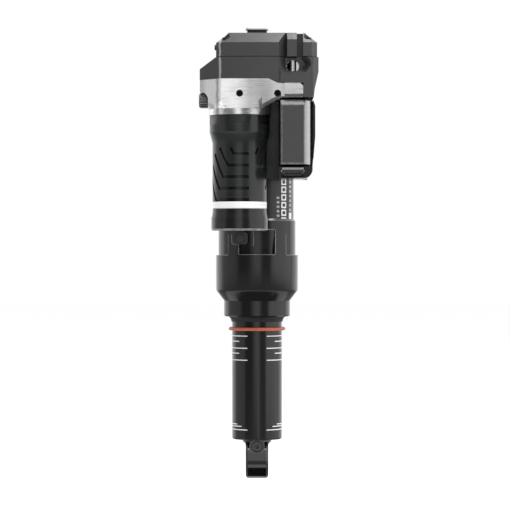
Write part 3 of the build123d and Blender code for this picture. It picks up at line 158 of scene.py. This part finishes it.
def grey_ramp(tree, factor, stops):
    """Grey levels along a factor of zero to one: (position, level) stops."""
    ramp = node(tree, "ShaderNodeValToRGB")
    tree.links.new(factor, ramp.inputs["Fac"])
    elements = ramp.color_ramp.elements
    for index, (position, level) in enumerate(stops):
        stop = elements[index] if index < 2 else elements.new(position)
        stop.position = position
        stop.color = (level, level, level, 1)
    return ramp.outputs["Color"]


def in_front(tree, full, none):
    """One where Y is below full, zero where it is above none."""
    return remap(tree, object_axis(tree, "Y"), 1.0, 0.0, full, none)


def painted_tone_across(tree, stops):
    """Painted reflection, highlight and shade across a face along X: (millimetres, brightness) stops,
    broken up by brushing.
    """
    low = stops[0][0]
    high = stops[-1][0]
    wander = node(tree, "ShaderNodeMath", operation="ADD")
    tree.links.new(object_axis(tree, "X"), wander.inputs[0])
    brushing = noise(tree, 300.0, 4.0, (0.15, 1, 1))
    tree.links.new(remap(tree, brushing, -BRUSH_WANDER, BRUSH_WANDER), wander.inputs[1])
    along = remap(tree, wander.outputs["Value"], 0.0, 1.0, low * MM, high * MM)
    return grey_ramp(tree, along, [((place - low) / (high - low), level) for place, level in stops])


def inside_radius(tree, axis_x, axis_y, radius):
    """One where the surface lies closer than radius to an upright axis, all in metres."""
    place = node(tree, "ShaderNodeTexCoord")
    offset = node(tree, "ShaderNodeVectorMath", operation="SUBTRACT")
    offset.inputs[1].default_value = (axis_x, axis_y, 0)
    flat = node(tree, "ShaderNodeVectorMath", operation="MULTIPLY")
    flat.inputs[1].default_value = (1, 1, 0)
    reach = node(tree, "ShaderNodeVectorMath", operation="LENGTH")
    tree.links.new(place.outputs["Object"], offset.inputs[0])
    tree.links.new(offset.outputs["Vector"], flat.inputs[0])
    tree.links.new(flat.outputs["Vector"], reach.inputs[0])
    return remap(tree, reach.outputs["Value"], 1.0, 0.0, radius - 0.0002, radius)


def tinted(colour, amount):
    return tuple(min(1.0, channel * amount) for channel in colour)


def finish_material(
    name,
    colour,
    metallic=0.0,
    roughness=(0.25, 0.35),
    variation=0.12,
    mottle_scale=90.0,
    grain_scale=2500.0,
    grain_bump=0.04,
    stretch=(1, 1, 1),
    coat=0.0,
    coat_roughness=0.1,
    wear_and_highlight=0.0,
    wear_and_highlight_colour=(0.5, 0.5, 0.5),
    wear_and_highlight_above=None,
    bump_distance=0.00005,
    specular=0.5,
    wave=0.0,
    painted_groove_shade=None,
    painted_light_tone=None,
):
    """A finish with mottled colour, varied roughness, a fine grain and lighter outer edges, partly wear
    and partly painted highlight.
    """
    material = bpy.data.materials.new(name)
    material.use_nodes = True
    tree = material.node_tree
    shader = tree.nodes["Principled BSDF"]
    shader.inputs["Metallic"].default_value = metallic
    shader.inputs["Coat Weight"].default_value = coat
    shader.inputs["Coat Roughness"].default_value = coat_roughness
    shader.inputs["Specular IOR Level"].default_value = specular
    mottle = noise(tree, mottle_scale, 5.0, stretch)
    grain = noise(tree, grain_scale, 3.0, stretch)
    darker = tinted(colour, 1 - variation)
    lighter = tinted(colour, 1 + variation)
    base = blend_colours(tree, remap(tree, mottle, 0.0, 1.0), darker, lighter)
    # outer edges lightened: partly wear, partly painted edge highlight
    if wear_and_highlight > 0:
        patchy = node(tree, "ShaderNodeMath", operation="MULTIPLY")
        tree.links.new(edge_mask(tree, WEAR_AND_HIGHLIGHT_REACH, wear_and_highlight, wear_and_highlight_above), patchy.inputs[0])
        tree.links.new(remap(tree, noise(tree, 260.0, 6.0), 0.55, 1.0), patchy.inputs[1])
        base = blend_colours(tree, patchy.outputs["Value"], base, wear_and_highlight_colour)
    # painted reflections, highlights and shade across the front face, laid into the base colour
    if painted_light_tone is not None:
        base = blend_colours(tree, in_front(tree, FRONT_FULL, FRONT_NONE), base, painted_tone_across(tree, painted_light_tone))
    # painted shade on the groove floors: inside the given radius the colour is darkened
    if painted_groove_shade is not None:
        base = blend_colours(tree, inside_radius(tree, *painted_groove_shade), base, tinted(colour, GROOVE_PAINTED_SHADE))
    tree.links.new(base, shader.inputs["Base Color"])
    rough = node(tree, "ShaderNodeMath", operation="ADD")
    middle = (roughness[0] + roughness[1]) / 2
    half = (roughness[1] - roughness[0]) / 2
    tree.links.new(remap(tree, mottle, middle - half, middle + half), rough.inputs[0])
    tree.links.new(remap(tree, grain, -half / 2, half / 2), rough.inputs[1])
    tree.links.new(rough.outputs["Value"], shader.inputs["Roughness"])
    bump = node(tree, "ShaderNodeBump")
    bump.inputs["Strength"].default_value = grain_bump
    bump.inputs["Distance"].default_value = bump_distance
    tree.links.new(grain, bump.inputs["Height"])
    if wave > 0:
        rolling = node(tree, "ShaderNodeBump")
        rolling.inputs["Strength"].default_value = wave
        rolling.inputs["Distance"].default_value = ROLL_HEIGHT
        tree.links.new(noise(tree, ROLL_SCALE, 1.0, (1, 1, 0.5)), rolling.inputs["Height"])
        tree.links.new(rolling.outputs["Normal"], bump.inputs["Normal"])
    tree.links.new(bump.outputs["Normal"], shader.inputs["Normal"])
    return material


LENGTHWISE = (1, 1, 0.04)
AROUND = (0.06, 0.06, 1)
ACROSS = (0.08, 1, 1)
# painted reflection tone of the polished head across its front, brightest right of the crease, with a
# painted shade line in the crease: (mm, brightness)
PAINTED_REFLECTION_TONE = [
    (-33.0, 0.34),
    (-27.5, 0.86),
    (-22.8, 0.86),
    (-21.6, 0.36),
    (-20.2, 1.0),
    (-11.0, 1.0),
    (-4.5, 0.60),
    (3.0, 0.50),
    (9.0, 0.66),
    (34.0, 0.72),
]
# tone of the grey module across its front, a painted highlight line on the crease: (mm, brightness)
PAINTED_CREASE_HIGHLIGHT = [
    (-33.0, 0.029),
    (-20.9, 0.029),
    (-20.5, 0.26),
    (-19.9, 0.26),
    (-19.4, 0.029),
    (34.0, 0.046),
]
res_low, res_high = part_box("reservoir_band")
RES_X = (res_low.x + res_high.x) / 2
RES_Y = (res_low.y + res_high.y) / 2
RES_R = (res_high.x - res_low.x) / 2

MATERIALS = {
    # polished head: painted reflection tone and crease shade across its front
    "polished_alloy": finish_material(
        "polished_alloy", (0.70, 0.705, 0.71), 0.9, (0.12, 0.26), 0.12, 70.0, 900.0, 1.0, (0.10, 1, 1),
        wave=1.0, bump_distance=0.0002, painted_light_tone=PAINTED_REFLECTION_TONE,
    ),
    "gloss_black_anodised": finish_material(
        "gloss_black_anodised", (0.009, 0.0092, 0.0095), 0.0, (0.10, 0.16), 0.15, 70.0, 1800.0,
        0.05, LENGTHWISE, specular=0.55,
    ),
    "alloy_inner": finish_material(
        "alloy_inner", (0.60, 0.60, 0.62), 1.0, (0.25, 0.38), 0.08, 90.0, 1600.0, 0.2, AROUND,
    ),
    "seal_rubber": finish_material(
        "seal_rubber", (0.010, 0.010, 0.010), 0.0, (0.45, 0.62), 0.25, 200.0, 2200.0, 0.3,
    ),
    "rim_rubber": finish_material(
        "rim_rubber", (0.004, 0.004, 0.004), 0.0, (0.5, 0.65), 0.2, 200.0, 2200.0, 0.3,
        specular=0.3,
    ),
    "orange_rubber": finish_material(
        "orange_rubber", (0.44, 0.095, 0.050), 0.0, (0.35, 0.5), 0.12, 260.0, 2400.0, 0.25,
    ),
    "chromed_steel": finish_material(
        "chromed_steel", (0.72, 0.72, 0.74), 1.0, (0.06, 0.14), 0.05, 80.0, 1500.0, 0.05, AROUND,
    ),
    "bright_steel": finish_material(
        "bright_steel", (0.66, 0.66, 0.67), 1.0, (0.14, 0.24), 0.1, 300.0, 2500.0, 0.2,
    ),
    "black_steel": finish_material(
        "black_steel", (0.008, 0.008, 0.008), 0.0, (0.28, 0.4), 0.25, 240.0, 2600.0, 0.2, wear_and_highlight=0.2,
        wear_and_highlight_colour=(0.10, 0.10, 0.10),
    ),
    "motor_steel": finish_material(
        "motor_steel", (0.42, 0.42, 0.43), 1.0, (0.25, 0.4), 0.1, 150.0, 2000.0, 0.2, AROUND,
    ),
    "bushing_polymer": finish_material(
        "bushing_polymer", (0.030, 0.030, 0.032), 0.0, (0.4, 0.5), 0.2, 300.0, 2600.0, 0.2,
    ),
    "can_anodised": finish_material(
        "can_anodised", (0.012, 0.0125, 0.013), 0.0, (0.22, 0.30), 0.15, 80.0, 2600.0, 0.1,
        specular=0.55,
    ),
    # sleeve: light edges above the collar ledge, partly bare machined edges and partly painted highlight
    "sleeve_anodised": finish_material(
        "sleeve_anodised", (0.008, 0.0083, 0.0086), 0.0, (0.13, 0.20), 0.15, 80.0, 2200.0, 0.08, AROUND,
        wear_and_highlight=0.9, wear_and_highlight_colour=(0.42, 0.42, 0.42), wear_and_highlight_above=SLEEVE_EDGE_LOW, specular=0.55,
    ),
    # reservoir: painted shade on the groove floors
    "reservoir_anodised": finish_material(
        "reservoir_anodised", (0.013, 0.0145, 0.0145), 0.0, (0.19, 0.28), 0.15, 80.0, 2600.0, 0.12,
        wear_and_highlight=0.3, wear_and_highlight_colour=(0.10, 0.10, 0.10), specular=0.5, painted_groove_shade=(RES_X, RES_Y, RES_R - 0.00035),
    ),
    "silver_band": finish_material(
        "silver_band", (0.80, 0.80, 0.79), 0.0, (0.25, 0.35), 0.03, 80.0, 1500.0, 0.1, AROUND,
    ),
    "brass": finish_material("brass", (0.55, 0.42, 0.22), 1.0, (0.22, 0.34), 0.1, 200.0, 2200.0, 0.2),
    "dial_alloy": finish_material(
        "dial_alloy", (0.10, 0.10, 0.105), 1.0, (0.25, 0.38), 0.15, 300.0, 2600.0, 0.3, wear_and_highlight=0.6,
        wear_and_highlight_colour=(0.6, 0.6, 0.6),
    ),
    # grey module: lighter outer edges, partly wear and partly painted edge highlight, and a painted
    # highlight line on the crease
    "module_grey": finish_material(
        "module_grey", (0.029, 0.0298, 0.030), 0.0, (0.28, 0.36), 0.08, 120.0, 3600.0, 0.35,
        wear_and_highlight=0.55, wear_and_highlight_colour=(0.30, 0.30, 0.30), specular=0.5, painted_light_tone=PAINTED_CREASE_HIGHLIGHT,
    ),
    "board_green": finish_material(
        "board_green", (0.02, 0.11, 0.05), 0.0, (0.3, 0.45), 0.2, 400.0, 2600.0, 0.2,
    ),
    "chip_black": finish_material(
        "chip_black", (0.02, 0.02, 0.02), 0.0, (0.5, 0.6), 0.2, 400.0, 3000.0, 0.3,
    ),
    "button_alloy": finish_material(
        "button_alloy", (0.74, 0.74, 0.74), 0.3, (0.2, 0.3), 0.06, 120.0, 2000.0, 0.2, ACROSS,
    ),
    "black_plastic": finish_material(
        "black_plastic", (0.008, 0.008, 0.008), 0.0, (0.38, 0.5), 0.2, 200.0, 3000.0, 0.35,
    ),
    # dock: lighter edges are painted highlights
    "dock_plastic": finish_material(
        "dock_plastic", (0.004, 0.004, 0.0042), 0.0, (0.16, 0.26), 0.2, 160.0, 3000.0, 0.25,
        specular=0.35,
        wear_and_highlight=0.45, wear_and_highlight_colour=(0.09, 0.09, 0.09),
    ),
    "gold_contact": finish_material(
        "gold_contact", (0.80, 0.58, 0.22), 1.0, (0.15, 0.25), 0.05, 300.0, 2600.0, 0.1,
    ),
    # battery: lighter edges are painted highlights
    "battery_plastic": finish_material(
        "battery_plastic", (0.022, 0.0222, 0.0225), 0.0, (0.30, 0.40), 0.10, 160.0, 3400.0, 0.4,
        specular=0.3,
        coat=1.0, coat_roughness=0.12, wear_and_highlight=0.6, wear_and_highlight_colour=(0.34, 0.34, 0.34),
    ),
    "cell_wrap": finish_material(
        "cell_wrap", (0.06, 0.10, 0.28), 0.0, (0.3, 0.4), 0.1, 200.0, 2600.0, 0.1,
    ),
    "latch_plastic": finish_material(
        "latch_plastic", (0.006, 0.006, 0.006), 0.0, (0.10, 0.18), 0.2, 200.0, 3000.0, 0.2,
        specular=0.6,
    ),
    "print_white": finish_material(
        "print_white", (0.72, 0.73, 0.73), 0.0, (0.4, 0.5), 0.08, 500.0, 3000.0, 0.1,
    ),
    "print_grey": finish_material(
        "print_grey", (0.34, 0.35, 0.35), 0.0, (0.4, 0.5), 0.08, 500.0, 3000.0, 0.1,
    ),
    "eyelet_gloss": finish_material(
        "eyelet_gloss", (0.002, 0.002, 0.002), 0.0, (0.08, 0.13), 0.2, 120.0, 2600.0, 0.04,
        specular=1.0,
        wear_and_highlight=0.2, wear_and_highlight_colour=(0.10, 0.10, 0.10),
    ),
    "adjuster_grey": finish_material(
        "adjuster_grey", (0.05, 0.05, 0.05), 0.0, (0.28, 0.4), 0.2, 300.0, 2600.0, 0.2, wear_and_highlight=0.4,
        wear_and_highlight_colour=(0.16, 0.16, 0.16),
    ),
}


def lens_material():
    """Frosted clear light pipe."""
    material = finish_material("lens", (0.80, 0.85, 0.85), 0.0, (0.12, 0.22), 0.05, 400.0, 2600.0, 0.1)
    shader = material.node_tree.nodes["Principled BSDF"]
    shader.inputs["Transmission Weight"].default_value = 0.8
    return material


MATERIALS["lens"] = lens_material()


def edge_wear_and_highlight(
    name, colour, metallic=0.0, roughness=(0.25, 0.38), above=None, plain=(0.01, 0.01, 0.01)
):
    """Lighter edge strip, partly rubbed wear and partly painted edge highlight: patchy between two tones,
    and back to the plain colour under a height.
    """
    material = finish_material(name, colour, metallic, roughness, 0.3, 400.0, 3000.0, 0.2, specular=0.6)
    if above is None:
        return material
    tree = material.node_tree
    shader = tree.nodes["Principled BSDF"]
    rubbed_and_lit = shader.inputs["Base Color"].links[0].from_socket
    height = remap(tree, object_axis(tree, "Z"), 0.0, 1.0, above, above + FADE)
    tree.links.new(blend_colours(tree, height, plain, rubbed_and_lit), shader.inputs["Base Color"])
    return material


# lighter strips on the rounded edges: partly wear, partly painted highlight
EDGE_WEAR_AND_HIGHLIGHT = {
    "module_grey": edge_wear_and_highlight("module_grey_edge", (0.36, 0.36, 0.36)),
    "battery_plastic": edge_wear_and_highlight("battery_edge", (0.13, 0.13, 0.13)),
    "dock_plastic": edge_wear_and_highlight("dock_edge", (0.035, 0.035, 0.035)),
    "reservoir_anodised": edge_wear_and_highlight("reservoir_edge", (0.030, 0.032, 0.032)),
    "sleeve_anodised": edge_wear_and_highlight("sleeve_edge", (0.26, 0.26, 0.26), above=SLEEVE_EDGE_LOW),
    "polished_alloy": edge_wear_and_highlight("alloy_edge", (0.85, 0.85, 0.85), 0.9, (0.15, 0.25)),
    "dial_alloy": edge_wear_and_highlight("dial_edge", (0.55, 0.55, 0.55), 0.9, (0.2, 0.3)),
    "latch_plastic": edge_wear_and_highlight("latch_edge", (0.06, 0.06, 0.06)),
}

# ------------------------------------------------------------------ CAD nodes that stay
FINISH_OF = {
    "lower_eyelet": "eyelet_gloss",
    "head_plugs": "rim_rubber",
    "bottom_out_adjuster": "adjuster_grey",
    "sleeve_plug": "can_anodised",
}
for name, thing in frame["nodes"].items():
    thing.data.materials.clear()
    thing.data.materials.append(MATERIALS[FINISH_OF.get(name, SLOT_OF[name])])


# ------------------------------------------------------------------ pieces with rounded edges
def link(piece, body):
    """Put a piece in the scene on its body."""
    scene.collection.objects.link(piece)
    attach(piece, body)
    return piece


def rounded_copy(name, width, segments=2, angle=22.0):
    """The node's own shape with its sharp edges rounded off, in place of the plain node."""
    source = frame["nodes"][name]
    mesh = source.data.copy()
    form = bmesh.new()
    form.from_mesh(mesh)
    bmesh.ops.remove_doubles(form, verts=form.verts, dist=0.000002)
    bmesh.ops.dissolve_limit(
        form, angle_limit=math.radians(0.6), verts=form.verts, edges=form.edges, delimit={"NORMAL"}
    )
    form.to_mesh(mesh)
    form.free()
    for attribute in ("custom_normal", "sharp_face", "sharp_edge"):
        if attribute in mesh.attributes:
            mesh.attributes.remove(mesh.attributes[attribute])
    for polygon in mesh.polygons:
        polygon.use_smooth = True
    mesh.set_sharp_from_angle(angle=math.radians(angle))
    piece = bpy.data.objects.new(name + "_finished", mesh)
    bevel = piece.modifiers.new("rounded_edges", "BEVEL")
    bevel.width = width * MM
    bevel.segments = segments
    bevel.limit_method = "ANGLE"
    bevel.angle_limit = math.radians(angle)
    bevel.use_clamp_overlap = True
    bevel.harden_normals = True
    # the rounded edge faces take the lighter strip: partly wear, partly painted highlight
    if SLOT_OF[name] in EDGE_WEAR_AND_HIGHLIGHT:
        mesh.materials.append(EDGE_WEAR_AND_HIGHLIGHT[SLOT_OF[name]])
        bevel.material = 1
    link(piece, BODY_OF[name])
    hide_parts(name)
    return piece


ROUNDING = {
    "head": 0.4,
    "module_housing": 0.6,
    "module_cover": 0.6,
    "battery_case": 0.6,
    "battery_latch": 0.3,
    "battery_dock": 0.35,
    "battery_rim": 0.3,
    "reservoir_body": 0.18,
    "reservoir_end_cap": 0.3,
    "reservoir_band": 0.12,
    "air_can_sleeve": 0.25,
    "sleeve_plug": 0.25,
    "lower_eyelet": 0.35,
    "eyelet_bushing": 0.25,
    "bottom_out_adjuster": 0.15,
    "damper_body": 0.2,
    "rebound_dial": 0.12,
    "module_screw": 0.15,
    "cover_screws": 0.15,
    "mode_button": 0.25,
    "air_valve": 0.2,
    "air_valve_cap": 0.2,
    "reservoir_fill_screw": 0.2,
}
for name, width in ROUNDING.items():
    rounded_copy(name, width)


# ------------------------------------------------------------------ printed marks
def print_patch(name, centre, radius, start_deg, end_deg, low, high, body, material, lift=0.03):
    """A closed film on an upright cylinder: angles from the front, positive to the right."""
    film = bmesh.new()
    steps = max(2, math.ceil(abs(end_deg - start_deg) / 2.0))
    inner = radius + 0.3 * lift
    outer = radius + lift
    rings = []
    for index in range(steps + 1):
        angle = math.radians(start_deg + (end_deg - start_deg) * index / steps)
        corners = []
        for reach, height in ((inner, low), (outer, low), (outer, high), (inner, high)):
            across = centre[0] + reach * math.sin(angle)
            depth = centre[1] - reach * math.cos(angle)
            place = Vector((across, depth, height)) * MM
            corners.append(film.verts.new(place))
        rings.append(corners)
    for first, second in zip(rings, rings[1:]):
        for side in range(4):
            after = (side + 1) % 4
            film.faces.new((first[side], first[after], second[after], second[side]))
    film.faces.new(rings[0])
    film.faces.new(rings[-1][::-1])
    bmesh.ops.recalc_face_normals(film, faces=film.faces)
    mesh = bpy.data.meshes.new(name)
    film.to_mesh(mesh)
    film.free()
    mesh.materials.append(MATERIALS[material])
    return link(bpy.data.objects.new(name, mesh), body)


leg_low, leg_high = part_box("damper_body")
LEG_R = (leg_high.x - leg_low.x) / 2 / MM
MARK_HEIGHT = 0.5
MARK_END = 88.0
# height and inner end in degrees from the front; all run to the same outer end
TRAVEL_MARKS = [
    (69.2, 22.5),
    (66.2, 45.0),
    (62.4, 22.5),
    (59.5, 45.0),
    (55.7, 22.5),
    (19.7, 52.0),
    (18.5, 38.0),
    (16.6, 22.5),
]
for index, (height, inner_deg) in enumerate(TRAVEL_MARKS):
    for side, label in ((-1, "left"), (1, "right")):
        print_patch(
            f"travel_mark_{index + 1}_{label}", (0, 0), LEG_R, side * inner_deg, side * MARK_END,
            height - MARK_HEIGHT / 2, height + MARK_HEIGHT / 2, "lower_leg",
            "print_white",
        )

can_low, can_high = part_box("air_can")
CAN_R = (can_high.x - can_low.x) / 2 / MM


def can_print(name, start_deg, end_deg, low, high, material="print_white"):
    print_patch(
        name, (0, 0), CAN_R, start_deg, end_deg, low, high, "upper", material, 0.05
    )


can_print("can_stripe", 59.5, 68.5, 126.5, 138.5)
TICK_FIRST, TICK_PITCH, TICK_HEIGHT = 139.3, 2.6, 1.5
for index in range(7):
    low = TICK_FIRST + TICK_PITCH * index
    can_print(f"can_tick_{index + 1}", 60.5, 67.0, low, low + TICK_HEIGHT, "print_grey")
# a column of open frames, each a plain square outline
FRAME_FIRST, FRAME_PITCH, FRAME_HEIGHT, FRAME_LINE = 132.3, 4.3, 3.5, 0.85
FRAME_START, FRAME_INNER_START, FRAME_INNER_END, FRAME_END = 41.0, 43.4, 49.6, 52.0
for index in range(6):
    low = FRAME_FIRST + FRAME_PITCH * index
    high = low + FRAME_HEIGHT
    name = f"can_frame_{index + 1}"
    can_print(name + "_low", FRAME_START, FRAME_END, low, low + FRAME_LINE)
    can_print(name + "_high", FRAME_START, FRAME_END, high - FRAME_LINE, high)
    can_print(name + "_left", FRAME_START, FRAME_INNER_START, low + FRAME_LINE, high - FRAME_LINE)
    can_print(name + "_right", FRAME_INNER_END, FRAME_END, low + FRAME_LINE, high - FRAME_LINE)
DASH_FIRST, DASH_PITCH, DASH_HEIGHT = 136.0, 2.5, 1.3
for index in range(5):
    low = DASH_FIRST + DASH_PITCH * index
    can_print(f"can_dash_{index + 1}", 32.0, 37.0, low, low + DASH_HEIGHT, "print_grey")

# ------------------------------------------------------------------ studio
FLOOR_GAP = 0.03
FLOOR_HALF = 6.0
floor_mesh = bpy.data.meshes.new("floor")
floor_form = bmesh.new()
bmesh.ops.create_grid(floor_form, x_segments=1, y_segments=1, size=FLOOR_HALF)
floor_form.to_mesh(floor_mesh)
floor_form.free()
floor = bpy.data.objects.new("floor", floor_mesh)
floor.location = (0, 0, cad_low.z - FLOOR_GAP)
scene.collection.objects.link(floor)
floor_material = bpy.data.materials.new("floor_white")
floor_material.use_nodes = True
floor_shader = floor_material.node_tree.nodes["Principled BSDF"]
floor_shader.inputs["Base Color"].default_value = (0.96, 0.96, 0.96, 1)
floor_shader.inputs["Roughness"].default_value = 0.9
floor_shader.inputs["Specular IOR Level"].default_value = 0.0
floor_mesh.materials.append(floor_material)
floor.visible_glossy = False


def studio_world():
    """Brightness of the white room by direction: side panels, dark gaps, a front strip, open behind."""
    world = bpy.data.worlds.new("studio")
    world.use_nodes = True
    tree = world.node_tree
    background = tree.nodes["Background"]
    place = node(tree, "ShaderNodeTexCoord")
    axes = node(tree, "ShaderNodeSeparateXYZ")
    tree.links.new(place.outputs["Generated"], axes.inputs["Vector"])
    flip = node(tree, "ShaderNodeMath", operation="MULTIPLY")
    flip.inputs[1].default_value = -1.0
    tree.links.new(axes.outputs["Y"], flip.inputs[0])
    azimuth = node(tree, "ShaderNodeMath", operation="ARCTAN2")
    tree.links.new(axes.outputs["X"], azimuth.inputs[0])
    tree.links.new(flip.outputs["Value"], azimuth.inputs[1])
    around = remap(tree, azimuth.outputs["Value"], 0.0, 1.0, -math.pi, math.pi)
    sides = grey_ramp(tree, around, [((degrees + 180) / 360, level) for degrees, level in ROOM])
    below = remap(tree, axes.outputs["Z"], 0.0, 1.0, -1.0, 0.0)
    under = grey_ramp(tree, below, [(height + 1.0, level) for height, level in UNDER])
    drop = remap(tree, axes.outputs["Z"], 1.0, 0.0, -0.30, -0.14)
    level_room = blend_colours(tree, drop, sides, under)
    lift = remap(tree, axes.outputs["Z"], 0.0, 1.0, 0.35, 0.8)
    shaded = blend_colours(tree, lift, level_room, (CEILING, CEILING, CEILING))
    rays = node(tree, "ShaderNodeLightPath")
    white = 1.0 / ROOM_STRENGTH
    seen = blend_colours(tree, rays.outputs["Is Camera Ray"], shaded, (white, white, white))
    tree.links.new(seen, background.inputs["Color"])
    background.inputs["Strength"].default_value = ROOM_STRENGTH
    scene.world = world


ROOM_STRENGTH = 1.5
CEILING = 0.75
# by direction round the object: (degrees from the camera side towards +X, brightness)
ROOM = [
    (-180, 0.90),
    (-120, 0.80),
    (-112, 0.36),
    (-62, 0.36),
    (-52, 0.06),
    (-24, 0.06),
    (-14, 0.35),
    (-4, 0.60),
    (8, 0.60),
    (16, 0.08),
    (36, 0.08),
    (46, 0.80),
    (104, 0.80),
    (112, 0.45),
    (122, 0.80),
    (180, 0.90),
]
# below the horizon: (vertical part of the direction, brightness)
UNDER = [
    (-1.0, 0.02),
    (-0.82, 0.02),
    (-0.78, 0.7),
    (-0.60, 0.7),
    (-0.54, 0.20),
    (0.0, 0.20),
]
studio_world()
scene.view_settings.view_transform = "Standard"


def softbox(name, location, target, size, power):
    """A rectangular area light aimed at a point."""
    light = bpy.data.lights.new(name, "AREA")
    light.shape = "RECTANGLE"
    light.size, light.size_y = size
    light.energy = power
    lamp = bpy.data.objects.new(name, light)
    lamp.location = location
    direction = Vector(target) - Vector(location)
    lamp.rotation_euler = direction.to_track_quat("-Z", "Y").to_euler()
    scene.collection.objects.link(lamp)
    return lamp


centre = (cad_low + cad_high) / 2
softbox("top_box", (0.1, -0.45, 1.1), centre, (0.8, 0.6), 6.0)
softbox("near_top_box", (0.13, -0.04, 0.52), (0.13, -0.04, 0.2), (0.2, 0.2), 1.1)

# ------------------------------------------------------------------ camera
DISTANCE = 1.3
FRAME_WIDTH = 0.28866
CAMERA_X = -0.00113
CAMERA_Z = 0.1147
SENSOR = 36.0
camera_data = bpy.data.cameras.new("camera")
camera_data.sensor_width = SENSOR
camera_data.lens = SENSOR * DISTANCE / FRAME_WIDTH
camera = bpy.data.objects.new("camera", camera_data)
camera.location = (CAMERA_X, -DISTANCE, CAMERA_Z)
camera.rotation_euler = (math.pi / 2, 0, 0)
scene.collection.objects.link(camera)
bpy.context.scene.camera = camera
